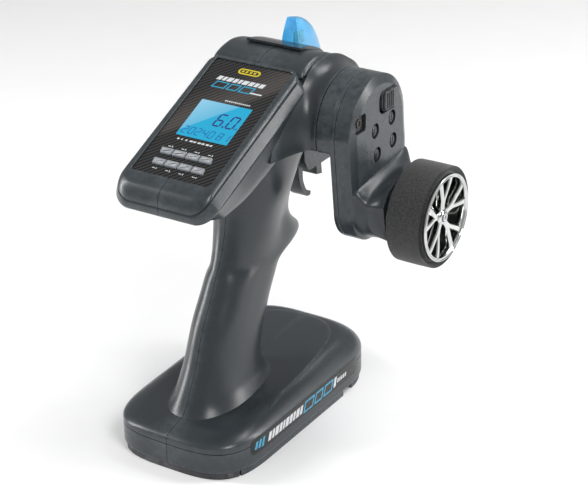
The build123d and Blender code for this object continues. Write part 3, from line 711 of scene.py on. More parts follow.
def bump(finish, shader, height, strength, distance):
    """Relief from a height."""
    relief = finish.node("ShaderNodeBump", {"Height": height, "Strength": strength, "Distance": distance})
    finish.feed(shader, "Normal", relief.outputs[0])


def moulding(name, colour, roughness, worn, grain=2600.0, relief=0.12, wear=0.5, **constants):
    """Moulded plastic or rubber with grain and rubbed edges."""
    material, finish, shader, place = new_finish(name, constants)
    skin = finish.node("ShaderNodeGroup", node_tree=group_named("moulded_skin"))
    finish.feed(skin, "Place", place)
    skin.inputs["Grain Size"].default_value = grain
    skin.inputs["Colour"].default_value = (*colour, 1)
    skin.inputs["Roughness"].default_value = roughness
    rub = finish.node("ShaderNodeGroup", node_tree=group_named("edge_wear"))
    finish.feed(rub, "Place", place)
    finish.feed(rub, "Colour", skin.outputs["Colour"])
    rub.inputs["Worn Colour"].default_value = (*worn, 1)
    rub.inputs["Amount"].default_value = wear
    finish.feed(shader, "Base Color", rub.outputs["Colour"])
    polish = finish.maths("MULTIPLY", rub.outputs["Mask"], 0.1)
    rough = finish.maths("SUBTRACT", skin.outputs["Roughness"], polish)
    finish.feed(shader, "Roughness", rough)
    bump(finish, shader, skin.outputs["Height"], relief, 0.00001)
    return material


def metal(name, colour, roughness, scratch=900.0, stretch=(1, 1, 1)):
    """Plated or drawn metal with fine marks."""
    material, finish, shader, place = new_finish(name, {"Metallic": 1.0})
    turned = finish.node("ShaderNodeMapping", {"Vector": place, "Scale": stretch}).outputs[0]
    marks = finish.noise(turned, scratch, 4.0, 0.6)
    cloud = finish.noise(place, 120.0, 3.0, 0.6)
    dark = tuple(value * 0.78 for value in colour)
    tone = finish.mix(finish.ramp(cloud, 0.35, 0.7), (*colour, 1), (*dark, 1))
    finish.feed(shader, "Base Color", tone)
    rough = finish.ramp(marks, 0.3, 0.7, roughness * 0.7, roughness * 1.5)
    finish.feed(shader, "Roughness", rough)
    bump(finish, shader, marks, 0.04, 0.00001)
    return material


def panel_plane(finish, place):
    """Place measured across the display panel and up it."""
    centre = tuple(-value * MM for value in panel_point(0, 0, 0))
    moved = finish.node("ShaderNodeVectorMath", {0: place, 1: centre}, operation="ADD").outputs[0]
    turn = (-radians(PANEL_TILT), 0, 0)
    return finish.node("ShaderNodeMapping", {"Vector": moved, "Rotation": turn}).outputs[0]


def woven_film(name, dark, light, tow, panel):
    """Printed woven-look film. On the panel it also carries a painted reflection: a pale slanted band of glare.
    """
    material, finish, shader, place = new_finish(name, {"Coat Weight": 0.3, "Coat Roughness": 0.12, "IOR": 1.35})
    if panel:
        flat = panel_plane(finish, place)
    else:
        split = finish.node("ShaderNodeSeparateXYZ", {0: place})
        flat = finish.node("ShaderNodeCombineXYZ", {0: split.outputs[1], 1: split.outputs[2]}).outputs[0]
    weave = finish.node("ShaderNodeGroup", node_tree=group_named("twill_weave"))
    finish.feed(weave, "Place", flat)
    weave.inputs["Tow"].default_value = tow
    tone = finish.mix(weave.outputs["Mask"], (*dark, 1), (*light, 1))
    tone = finish.mix(finish.ramp(weave.outputs["Height"], 0.0, 0.5, 0.75, 0.0), tone, (0.002, 0.002, 0.002, 1))
    if panel:
        axes = finish.node("ShaderNodeSeparateXYZ", {0: flat})
        slant = finish.maths("SUBTRACT", axes.outputs[1], axes.outputs[0])
        rise = finish.ramp(slant, 0.004, 0.010)
        fall = finish.ramp(slant, 0.018, 0.044, 1.0, 0.0)
        # painted reflection: a pale, brownish band of glare between two slanted lines, mixed into the panel's
        # colour
        painted_glare = finish.maths("MULTIPLY", finish.maths("MULTIPLY", rise, fall), 0.10)
        tone = finish.mix(painted_glare, tone, (0.36, 0.31, 0.28, 1))
    finish.feed(shader, "Base Color", tone)
    smear = finish.noise(place, 90.0, 4.0, 0.6)
    finish.feed(shader, "Roughness", finish.ramp(smear, 0.3, 0.7, 0.2, 0.34))
    bump(finish, shader, weave.outputs["Height"], 0.1, 0.00003)
    return material


def screen_finish(name, deep, pale):
    """Backlit display: blue field, a painted reflection that brightens the top corner, and fine cross lines."""
    material, finish, shader, place = new_finish(name, {
        "Coat Weight": 0.5, "Coat Roughness": 0.06, "Emission Strength": 0.3, "Roughness": 0.22})
    flat = panel_plane(finish, place)
    axes = finish.node("ShaderNodeSeparateXYZ", {0: flat})
    slant = finish.maths("SUBTRACT", axes.outputs[1], axes.outputs[0])
    # painted reflection: the field turns pale above a slanted line and grows brighter towards the top corner
    painted_glare = finish.ramp(slant, 0.0040, 0.0052)
    rise = finish.ramp(slant, 0.0, 0.030, 0.25, 0.85)
    field = finish.mix(finish.maths("MULTIPLY", painted_glare, rise), (*deep, 1), (*pale, 1))
    lines = finish.maths("SINE", finish.maths("MULTIPLY", axes.outputs[1], 2 * pi / 0.0005))
    field = finish.mix(finish.ramp(lines, 0.6, 1.0, 0.0, 0.06), field, (0.0, 0.12, 0.25, 1))
    finish.feed(shader, "Base Color", field)
    # the emission takes the same colour, so the painted reflection glows too
    finish.feed(shader, "Emission Color", field)
    return material


def fin_finish(name, colour):
    """Clear tinted moulding, paler in swirls towards its top, with a painted glow: it shines in its own colour
    though it holds no lamp.
    """
    material, finish, shader, place = new_finish(name, {
        "Transmission Weight": 0.65, "Roughness": 0.12, "IOR": 1.3, "Emission Strength": 0.22,
        "Coat Weight": 0.4})
    swirl = finish.noise(place, 80.0, 3.0, 0.5)
    pale = tuple(min(1.0, value * 1.4 + 0.12) for value in colour)
    axes = finish.node("ShaderNodeSeparateXYZ", {0: place})
    height = finish.ramp(axes.outputs[2], 0.218, 0.240)
    tone = finish.mix(finish.maths("MULTIPLY", finish.ramp(swirl, 0.3, 0.7), height), (*colour, 1), (*pale, 1))
    finish.feed(shader, "Base Color", tone)
    # painted glow: the fin gives off its own colour, though it holds no lamp
    finish.feed(shader, "Emission Color", tone)
    bump(finish, shader, swirl, 0.05, 0.0002)
    return material


def foam_finish(name, colour):
    """Open-cell foam: pale cell walls, and painted shade that darkens the small pores between them."""
    material, finish, shader, place = new_finish(name, {"Sheen Weight": 0.25, "Sheen Roughness": 0.5})
    pores = finish.node("ShaderNodeTexVoronoi", {"Vector": place, "Scale": 1500.0}).outputs["Distance"]
    cells = finish.noise(place, 900.0, 4.0, 0.7)
    dark = tuple(value * 0.35 for value in colour)
    pale = tuple(value * 2.6 for value in colour)
    tone = finish.mix(finish.ramp(cells, 0.35, 0.68), (*dark, 1), (*pale, 1))
    # painted shade: darker in the pores, where shade falls between the cell walls
    tone = finish.mix(finish.ramp(pores, 0.05, 0.45, 0.7, 0.0), tone, (*dark, 1))
    finish.feed(shader, "Base Color", tone)
    finish.feed(shader, "Roughness", finish.ramp(cells, 0.3, 0.7, 0.82, 0.98))
    height = finish.maths("ADD", finish.maths("MULTIPLY", pores, 0.6), cells)
    bump(finish, shader, height, 0.55, 0.0004)
    return material


def board_finish(name, colour):
    """Printed board: solder mask with copper tracks under it."""
    material, finish, shader, place = new_finish(name, {"Coat Weight": 0.3, "Roughness": 0.35})
    tracks = finish.node("ShaderNodeTexBrick", {
        "Vector": place, "Scale": 300.0, "Mortar Size": 0.05, "Color1": (*colour, 1),
        "Color2": (*(value * 0.8 for value in colour), 1), "Mortar": (*(value * 1.8 for value in colour), 1)})
    finish.feed(shader, "Base Color", tracks.outputs[0])
    bump(finish, shader, tracks.outputs["Fac"], 0.2, 0.0001)
    return material


def print_finish(name, colour):
    """Screen-printed ink with a faintly uneven film."""
    material, finish, shader, place = new_finish(name, {"Coat Weight": 0.3})
    cloud = finish.noise(place, 700.0, 3.0, 0.6)
    dim = tuple(value * 0.82 for value in colour)
    finish.feed(shader, "Base Color", finish.mix(finish.ramp(cloud, 0.35, 0.7), (*colour, 1), (*dim, 1)))
    finish.feed(shader, "Roughness", finish.ramp(cloud, 0.3, 0.7, 0.35, 0.5))
    return material


def finish_named(name):
    """Finish of a material slot, or one of the extra inks, made the first time it is asked for."""
    slot, name = name, "finish_" + name
    found = bpy.data.materials.get(name)
    if found:
        return found
    colours = bpy.context.scene.transmitter_colours
    shell, control = tuple(colours.shell), tuple(colours.control)
    worn = tuple(min(1.0, value * 3.2 + 0.02) for value in shell)
    makers = {
        "shell_plastic": lambda: moulding(name, shell, 0.3, worn, IOR=1.5),
        "foot_plastic": lambda: moulding(name, (0.022, 0.020, 0.025), 0.55, (0.16, 0.16, 0.17), 1800.0, 0.2),
        "control_plastic": lambda: moulding(name, control, 0.34, (0.11, 0.115, 0.12), 3200.0, 0.1),
        "key_plastic": lambda: moulding(name, tuple(colours.key), 0.3, (0.55, 0.56, 0.57), 3000.0, 0.06, 0.7),
        "label_film": lambda: woven_film(name, (0.001, 0.001, 0.001), (0.034, 0.033, 0.033), 0.00085, True),
        "side_film": lambda: woven_film(name, (0.001, 0.001, 0.001), (0.008, 0.008, 0.009), 0.0008, False),
        # the second colour of each display is the tint of its painted reflection
        "clear_window": lambda: screen_finish(name, tuple(colours.screen), (0.22, 0.42, 0.54)),
        "lcd_glass": lambda: screen_finish(name, (0.0, 0.25, 0.45), (0.1, 0.4, 0.6)),
        "board_green": lambda: board_finish(name, (0.015, 0.13, 0.055)),
        "soft_rubber": lambda: moulding(name, (0.010, 0.012, 0.013), 0.5, (0.03, 0.032, 0.035), 1500.0, 0.3, 0.2),
        "pad_plastic": lambda: moulding(name, (0.008, 0.009, 0.012), 0.22, (0.04, 0.045, 0.05), 3000.0, 0.05),
        "fin_clear": lambda: fin_finish(name, tuple(colours.fin)),
        "spring_metal": lambda: metal(name, (0.72, 0.6, 0.35), 0.3),
        "black_parts": lambda: moulding(name, (0.006, 0.006, 0.0065), 0.45, (0.03, 0.03, 0.03)),
        "cell_jacket": lambda: moulding(name, (0.09, 0.10, 0.13), 0.25, (0.3, 0.3, 0.3), 1200.0, 0.05),
        "steel": lambda: metal(name, (0.56, 0.57, 0.58), 0.26, 1200.0),
        "bearing_brass": lambda: metal(name, (0.58, 0.43, 0.2), 0.35),
        "rim_chrome": lambda: metal(name, (0.62, 0.63, 0.62), 0.08, 500.0),
        "foam": lambda: foam_finish(name, tuple(colours.foam)),
        "white_ink": lambda: print_finish(name, (0.62, 0.64, 0.65)),
        "blue_ink": lambda: print_finish(name, (0.02, 0.30, 0.48)),
        "yellow_ink": lambda: print_finish(name, (0.60, 0.48, 0.01)),
        "digit_ink": lambda: print_finish(name, (0.005, 0.01, 0.16)),
        "ghost_ink": lambda: print_finish(name, (0.0, 0.07, 0.32)),
    }
    return makers[slot]()


# ---------------------------------------------------------------- settings
class TransmitterSizes(bpy.types.PropertyGroup):
    """Sizes a maker may change."""

    tyre_shoulder: bpy.props.FloatProperty(
        name="Tyre Shoulder", description="Radius of the foam tyre's rounded shoulders",
        default=3.2 * MM, unit="LENGTH")
    key_height: bpy.props.FloatProperty(
        name="Key Height", description="How far the panel keys stand above the panel",
        default=1.35 * MM, unit="LENGTH")
    spokes: bpy.props.IntProperty(
        name="Spokes", description="Number of forked spokes in the wheel", default=5, min=3, max=9)
    camera_distance: bpy.props.FloatProperty(
        name="Camera Distance", description="From the camera to the point it looks at",
        default=1216.7 * MM, unit="LENGTH")
    camera_azimuth: bpy.props.FloatProperty(
        name="Camera Azimuth", description="Angle of the camera round the object, from behind it towards +X",
        default=radians(32.67), subtype="ANGLE")
    camera_elevation: bpy.props.FloatProperty(
        name="Camera Elevation", description="Angle of the camera above the horizon",
        default=radians(25.62), subtype="ANGLE")


class TransmitterColours(bpy.types.PropertyGroup):
    """Colours a maker may change."""

    shell: bpy.props.FloatVectorProperty(
        name="Shell", description="Moulded shells", default=(0.0225, 0.0285, 0.0325), subtype="COLOR", size=3)
    control: bpy.props.FloatVectorProperty(
        name="Controls", description="Buttons and trigger", default=(0.0120, 0.0140, 0.0165), subtype="COLOR",
        size=3)
    key: bpy.props.FloatVectorProperty(
        name="Keys", description="Panel keys", default=(0.24, 0.26, 0.28), subtype="COLOR", size=3)
    screen: bpy.props.FloatVectorProperty(
        name="Screen", description="Lit display", default=(0.0, 0.26, 0.43), subtype="COLOR", size=3)
    fin: bpy.props.FloatVectorProperty(
        name="Antenna Fin", description="Clear fin", default=(0.07, 0.36, 0.62), subtype="COLOR", size=3)
    foam: bpy.props.FloatVectorProperty(
        name="Foam", description="Tyre foam", default=(0.018, 0.018, 0.019), subtype="COLOR", size=3)


# ---------------------------------------------------------------- shells
def base_form():
    """The base: foot edge, wall with its groove, rounded shoulder and sloping top."""
    form = Form()
    wall = ((1.6, BASE_BOTTOM), (0.7, 4.25), (0.15, 4.9), (0.0, 5.8), (0.0, 10.5), (0.0, SEAM_Z - 0.45),
            (0.1, SEAM_Z - 0.22), (0.55, SEAM_Z - 0.14), (0.55, SEAM_Z + 0.14), (0.1, SEAM_Z + 0.22),
            (0.0, SEAM_Z + 0.45), (0.0, 19.6))
    rings = [[(x, y, z) for x, y in base_loop(inset)] for inset, z in wall]
    for inset in (0.0, 0.12, 0.5, 1.1, 2.0, 3.2, 4.7, 6.5, 8.5, 10.5, 12.2, 13.0, 15, 19, 24, 30, 36, 42, 45.3):
        rings.append([(x, y, base_height(inset, y)) for x, y in base_loop(inset)])
    form.loft(rings, ladder=True)
    return form


TONGUE = ((41.5, -40), (40.2, -30), (38.6, -18), (37.6, 0), (36.2, 18), (33.8, 38), (30, 52), (24, 61.5),
          (16, 67.5), (8, 69.7), (0, 70.2))
TONGUE_RISE = 0.45


def tongue_form():
    """Raised area on top of the base that fades out beside the grip."""
    form = Form()
    right = []
    for k in range(len(TONGUE) - 1):
        for step in range(4):
            t = k + step / 4
            right.append((curve_value([(i, p[0]) for i, p in enumerate(TONGUE)], t),
                          curve_value([(i, p[1]) for i, p in enumerate(TONGUE)], t)))
    right.append(TONGUE[-1])
    rings = []
    for number, share in enumerate((1.0, 1.0, 0.988, 0.95, 0.85, 0.7, 0.5, 0.3, 0.1)):
        row = [(x * share, 10 + (y - 10) * share) for x, y in right]
        row = [(0.0, row[0][1])] + row
        row += [(-x, y) for x, y in reversed(row[1:-1])]
        ring = []
        for x, y in row:
            rise = TONGUE_RISE * smooth_step(-38, -22, y) - 0.06
            lift = -1.5 if number == 0 else rise * (0.35 if share == 1.0 else 1.0)
            ring.append((x, y, base_height(base_inset_at(x, y), y) + lift))
        rings.append(ring)
    form.loft(rings, ladder=True)
    return form


def grip_form():
    """The grip, from its flared foot to its neck."""
    form = Form()
    heights = [20 + 156 * step / 78 for step in range(79)]
    rings = [[grip_point(z, 2 * pi * k / 72) for k in range(72)] for z in heights]
    form.loft(rings, ladder=True)
    return form


def lower_crease(along):
    """How far below the panel the head's lower side crease lies."""
    if along >= 10:
        return -27.4 - 0.4389 * along
    return curve_value(((-66, -17.5), (-55, -20.5), (-41, -25), (-26, -29), (-7, -31), (10, -31.8)), along)


def head_ring(half, nose, top, nose_radius, top_radius, side_drop, nose_drop, top_drop):
    """Ring of the head round the panel. side_drop is a height, or None and a share of the way down."""
    right = []

    def side_height(along):
        if isinstance(side_drop, tuple):
            share, offset = side_drop
            return -9.0 + (lower_crease(along) + 9.0) * share + offset
        return side_drop

    def blended(along, nose_share, top_share):
        rest = 1 - nose_share - top_share
        return nose_drop * nose_share + top_drop * top_share + side_height(along) * rest

    for step in range(6):
        right.append(((half - nose_radius) * step / 6, nose, 1.0, 0.0))
    for step in range(10):
        angle = pi / 2 * step / 10
        share = 1 - smooth_step(0, 1, step / 10)
        right.append((half - nose_radius + nose_radius * sin(angle),
                      nose + nose_radius - nose_radius * cos(angle), share, 0.0))
    for step in range(24):
        right.append((half, nose + nose_radius + (top - top_radius - nose - nose_radius) * step / 24, 0.0, 0.0))
    for step in range(8):
        angle = pi / 2 * step / 8
        share = smooth_step(0, 1, step / 8)
        right.append((half - top_radius + top_radius * cos(angle),
                      top - top_radius + top_radius * sin(angle), 0.0, share))
    for step in range(5):
        right.append(((half - top_radius) * (1 - step / 4), top, 0.0, 1.0))
    ring = [panel_point(x, along, blended(along, a, b)) for x, along, a, b in right]
    return ring + [(-x, y, z) for x, y, z in reversed(ring[1:-1])]


HEAD_RINGS = (
    # half width, nose, top, nose corner, top corner, side height, nose height, top height
    (26.75, -48.15, 48.15, 2.0, 2.0, -1.4, -1.4, -1.4),
    (26.75, -48.15, 48.15, 2.0, 2.0, 0.55, 0.55, 0.55),
    (27.1, -48.5, 48.5, 2.3, 2.3, 0.9, 0.9, 0.9),
    (29.3, -55.2, 49.4, 8.0, 5.5, 0.95, 0.75, 0.9),
    (30.4, -58.4, 50.1, 9.5, 6.5, 0.62, 0.1, 0.55),
    (31.0, -61.2, 50.5, 10.5, 7.2, -0.15, -1.5, -0.3),
    (31.25, -63.4, 50.7, 11.0, 7.5, -1.1, -3.9, -1.5),
    (31.3, -64.6, 50.7, 11.0, 7.5, -1.75, -6.6, -2.6),
    (30.75, -64.3, 50.3, 10.8, 7.5, -2.0, -7.2, -3.0),
    (30.75, -64.5, 50.3, 10.8, 7.5, -2.4, -7.6, -3.4),
    (31.55, -65.3, 50.5, 11.0, 7.5, -2.75, -8.1, -4.0),
    (32.9, -65.8, 50.3, 11.4, 7.5, -5.4, -9.8, -6.4),
    (34.25, -66.0, 50.0, 11.8, 7.5, -8.3, -11.9, -9.0),
    (34.55, -65.6, 49.8, 12.0, 7.5, -9.2, -13.1, -10.0),
    (34.25, -64.2, 49.5, 12.2, 7.5, -10.6, -14.5, -12.0),
    (33.2, -62.6, 49.0, 12.6, 7.5, (0.30, 0.0), -15.3, -20.0),
    (31.6, -61.0, 48.5, 12.8, 7.5, (0.68, 0.0), -15.8, -30.0),
    (30.4, -59.8, 48.0, 12.8, 7.5, (0.93, 0.0), -16.1, -42.0),
    (29.5, -58.8, 47.5, 12.6, 7.5, (1.0, 0.0), -16.3, -47.0),
)


def head_form():
    """The head: recess for the panel, bezel, rail, side walls, core and hood."""
    form = Form()
    form.loft([head_ring(*row) for row in HEAD_RINGS], ladder=True)
    core = smooth_loop(CORE_PROFILE, 3)
    flank = ((31.5, 0.8), (31.2, 0.2), (30.6, 0))
    form.loft(side_rings(core, [(-x, inset) for x, inset in flank] + [(0, 0)] + list(reversed(flank))))
    hood = smooth_loop(HOOD_PROFILE, 4)
    edge = HOOD_HALF_WIDTH
    rim = ((edge, 2.1), (edge - 0.5, 1.25), (edge - 1.3, 0.6), (edge - 2.4, 0.18), (edge - 3.6, 0.0), (15, 0.0))
    form.loft(side_rings(hood, [(-x, inset) for x, inset in rim] + [(0, 0.0)] + list(reversed(rim))))
    return form


def boss_form():
    """The trumpet-shaped boss on the right of the head."""
    form = Form()
    rings = []
    steps = 120
    stations = [24.0] + [BOSS_FOOT_X + (BOSS_END_X - 1.2 - BOSS_FOOT_X) * step / 14 for step in range(15)]
    for x in stations:
        t = min(max((x - BOSS_FOOT_X) / 10.0, 0.0), 1.0)
        share = (1 - t) ** 2.1
        ring = []
        for step in range(steps):
            degrees = -90 + 360 * step / steps
            angle = radians(degrees)
            foot = curve_value(BOSS_FOOT, degrees) * (0.93 if x < BOSS_FOOT_X else 1.0)
            reach = DRUM_RADIUS + (foot - DRUM_RADIUS) * share
            z = max(DRUM_Z + reach * sin(angle), DRUM_FLOOR_Z)
            ring.append((x, DRUM_Y + reach * cos(angle), z))
        rings.append(ring)
    for x, inset in ((BOSS_END_X - 0.35, 0.0), (BOSS_END_X, 0.5)):
        rings.append([(x, y, z) for x, y, z in drum_circle(DRUM_RADIUS - inset, x, steps, DRUM_FLOOR_Z + inset)])
    rolled = rings[:-2] + [ring[steps * 3 // 4:] + ring[:steps * 3 // 4] for ring in rings[-2:]]
    form.loft(rolled)
    return form


def build_shells():
    """Left and right shells, split down the middle."""
    plastic = finish_named("shell_plastic")
    for side, name in ((1, "right_shell"), (-1, "left_shell")):
        form = Form()
        for maker in (base_form, tongue_form, grip_form, head_form) + ((boss_form,) if side == 1 else ()):
            form.add(maker())
        mesh = half_of(mesh_of(name + "_finished", form), side)
        place_mesh(name + "_finished", mesh, [plastic], "frame", "shell_plastic", replaces=[name], angle=38)


# ---------------------------------------------------------------- pod
TRIM_SPOTS = [box_mm("trim_button_%d" % number) for number in range(1, 5)]
FACE_INSET = 5.5
WELL_GAP = 0.35  # clearance round a trim button
WELL_FLOOR_X, WELL_TOP_X = 64.5, 74  # how deep the controls' wells are cut, and from where

# side views (Y, Z) of the steering housing where it leaves the pod, in its middle and at its round end
HOUSING_NEAR = (
    (15.7, 141), (15.7, 149), (16.0, 156.6), (26, 159), (38, 160.6), (52, 162), (64, 163.4),
    (73, 164.8), (76, 163), (76.6, 154), (75.2, 140), (66.5, 125.8), (54, 118.9), (40, 118.9),
    (26.5, 124.8), (18, 133),
)
HOUSING_MIDDLE = (
    (17.2, 141), (17.0, 146), (17.3, 150.2), (25.5, 154.8), (36, 157.6), (48, 159.3), (58, 159.6),
    (67, 158.4), (71.2, 155.2), (72.4, 149), (71.6, 139), (64.8, 127.5), (53.5, 120.2), (41, 119.6),
    (28.6, 124.6), (20.2, 132),
)
HOUSING_FAR = (
    (22.0, 140.3), (21.2, 145), (21.3, 149.2), (26.5, 155.4), (33.5, 159.0), (43.5, 160.4),
    (51.5, 159.6), (58.8, 156.0), (63.0, 151), (65.0, 144.5), (65.0, 136.5), (62, 129), (53, 121.4), (42, 118.9),
    (31.5, 121.8), (24.6, 130),
)


def housing_ring(x):
    """Ring of the steering housing: its slanted top by the pod turns into a round end."""
    first, second = smooth_step(69.5, 77.5, x), smooth_step(77.0, 85.0, x)
    corners = []
    for near, middle, far in zip(HOUSING_NEAR, HOUSING_MIDDLE, HOUSING_FAR):
        corners.append(tuple(n + (m - n) * first + (f - m) * second for n, m, f in zip(near, middle, far)))
    return [(x, y, z) for y, z in smooth_loop(corners, 5)]


def well_of(outline):
    """Well cut into the pod's face."""
    return Form().slab(outline, on_side, WELL_FLOOR_X, WELL_TOP_X)


def rounded_box(low_u, low_v, high_u, high_v, radius, steps=5):
    """Rectangle with rounded corners as a flat loop."""
    loop = []
    corners = ((high_u - radius, high_v - radius, 0), (low_u + radius, high_v - radius, 90),
               (low_u + radius, low_v + radius, 180), (high_u - radius, low_v + radius, 270))
    for centre_u, centre_v, start in corners:
        for step in range(steps + 1):
            angle = radians(start + 90 * step / steps)
            loop.append((centre_u + radius * cos(angle), centre_v + radius * sin(angle)))
    return loop


def rounded_polygon(corners, radius, steps=4):
    """Polygon with its corners rounded off, as a flat loop."""
    loop = []
    count = len(corners)
    for k in range(count):
        before, here, after = Vector(corners[k - 1]), Vector(corners[k]), Vector(corners[(k + 1) % count])
        start = here + (before - here).normalized() * radius
        end = here + (after - here).normalized() * radius
        for step in range(steps + 1):
            t = step / steps
            loop.append(tuple(start * (1 - t) ** 2 + here * 2 * t * (1 - t) + end * t * t))
    return loop


def build_pod():
    """Drum, hanging arm with its controls' wells, steering housing and flange."""
    plastic = finish_named("shell_plastic")
    inner = Form()
    rings = []
    for x, inset in ((DRUM_START_X, 0.5), (DRUM_START_X + 0.35, 0.0), (ARM_START_X + 1, 0.0),
                     (ARM_START_X + 2, 0.6)):
        rings.append(drum_circle(DRUM_RADIUS - inset, x, 120, DRUM_FLOOR_Z + inset))
    inner.loft(rings)
    loop = pod_loop()
    stations = ((ARM_START_X, 0.8), (ARM_START_X + 0.25, 0.25), (ARM_START_X + 0.8, 0.0), (57.5, 0.0),
                (57.85, 0.35))
    inner.loft(side_rings(loop, stations))
    place_form("pod_inner_finished", inner, [plastic], "frame", "shell_plastic",
               replaces=["pod_inner_shell"], angle=38)
    outer = Form()
    start = BEVEL_START_X
    stations = ((57.6, 0.7), (58.05, 0.6), (58.1, 0.3), (58.4, 0.0), (start - 0.5, 0.0), (start - 0.1, 0.12),
                (start + 0.15, 0.4), (FACE_X - 0.25, FACE_INSET - 0.5), (FACE_X, FACE_INSET))
    outer.loft(side_rings(loop, stations))
    wells = []
    for low, high in TRIM_SPOTS:
        middle, half = side_frame(low, high)
        wells.append(well_of(ellipse_loop(middle, (half[0] + WELL_GAP, half[1] + WELL_GAP))))
    low, high = box_mm("thumb_switch")
    wells.append(well_of(rounded_box(low[1] - 6.0, low[2] - 1.2, high[1] + 0.5, high[2] + 1.2, 5.0)))
    low, high = box_mm("side_button")
    wells.append(well_of(rounded_box(low[1] - 0.5, low[2] - 0.5, high[1] + 0.5, high[2] + 0.5, 1.8)))
    bore = Form().lathe(((57, 0.01), (57, 7.2), (72, 7.2), (72, 0.01)), WHEEL_Y, WHEEL_Z, 48)
    place_form("pod_outer_finished", outer, [plastic], "frame", "shell_plastic", replaces=["pod_outer_shell"],
               cutters=[cutter_of(well) for well in wells + [bore]], angle=38)
    housing = Form()
    stations = (66.5, 69.5, 70.3, 71, 72, 73, 74, 75, 76, 77, 78, 79.5, 81, 82.5, 84, 85.6)
    rings = [housing_ring(x) for x in stations]
    rings.append([(HOUSING_END_X, WHEEL_Y + (y - WHEEL_Y) * 0.975, WHEEL_Z + (z - WHEEL_Z) * 0.975)
                  for _, y, z in rings[-1]])
    housing.loft(rings)
    housing.lathe(((86.3, 6.3), (86.3, 20.6), (86.6, 21.2), (88.6, 21.2), (89.2, 20.6), (89.2, 6.3)),
                  WHEEL_Y, WHEEL_Z, 96)
    bore = Form().lathe(((62, 0.01), (62, 6.6), (92, 6.6), (92, 0.01)), WHEEL_Y, WHEEL_Z, 48)
    place_form("steering_housing", housing, [plastic], "frame", "shell_plastic", cutters=[cutter_of(bore)],
               angle=38)


def build_pod_controls():
    """Trim buttons, thumb slider and square button."""
    control = finish_named("control_plastic")
    for number, (low, high) in enumerate(TRIM_SPOTS, start=1):
        middle, half = side_frame(low, high)
        form = Form()
        rings = []
        for x, share in ((low[0], 1.0), (FACE_X + 0.2, 1.0), (high[0] - 0.9, 0.97), (high[0] - 0.35, 0.86),
                         (high[0] + 0.15, 0.66), (high[0] + 0.35, 0.4), (high[0] + 0.4, 0.12)):
            rings.append([(x, y, z) for y, z in ellipse_loop(middle, half, share)])
        form.loft(rings)
        form.slab(rounded_box(middle[0] - 0.35, middle[1] - 2.0, middle[0] + 0.35, middle[1] + 2.0, 0.3),
                  on_side, high[0] - 0.5, high[0] + 0.62)
        dress("trim_button_%d" % number, form, "trim_%d" % number, angle=38)
    low, high = box_mm("thumb_switch")
    block = Form()
    outline = rounded_box(low[1] - 1.6, low[2] - 0.6, high[1], high[2] + 0.6, 3.0)
    block.slab(outline, on_side, low[0], FACE_X - 0.4, edge=0.3)
    ramp = rounded_box(low[1] - 1.0, low[2], high[1] - 0.4, high[2], 2.4)
    block.slab(ramp, on_side, FACE_X - 0.5, FACE_X + 1.4, edge=0.6)
    dress("thumb_switch", block, "thumb")
    ridge = Form().slab(rounded_box(-0.45, -5.0, 0.45, 5.0, 0.4, 3), on_side, -1.2, 0.75, edge=0.3)
    middle_z = (low[2] + high[2]) / 2
    mesh = copied_mesh(mesh_of("ridge", ridge), 4, (FACE_X + 1.3, low[1] + 1.6, middle_z), (0, 2.1, 0),
                       (0, 0, 0), control)
    place_mesh("thumb_ridges", mesh, [control], "thumb", "control_plastic")
    low, high = box_mm("side_button")
    button = Form()
    button.slab(rounded_box(low[1] - 0.2, low[2] - 0.2, high[1] + 0.2, high[2] + 0.2, 1.6), on_side,
                low[0], high[0] + 0.1, edge=0.35)
    middle, _ = side_frame(low, high)
    button.lathe(((high[0], 1.5), (high[0] + 0.75, 1.7), (high[0] + 0.85, 2.2), (high[0] + 0.75, 2.7),
                  (high[0], 2.9)),
                 *middle, 40)
    dress("side_button", button, "square", [finish_named("black_parts")])


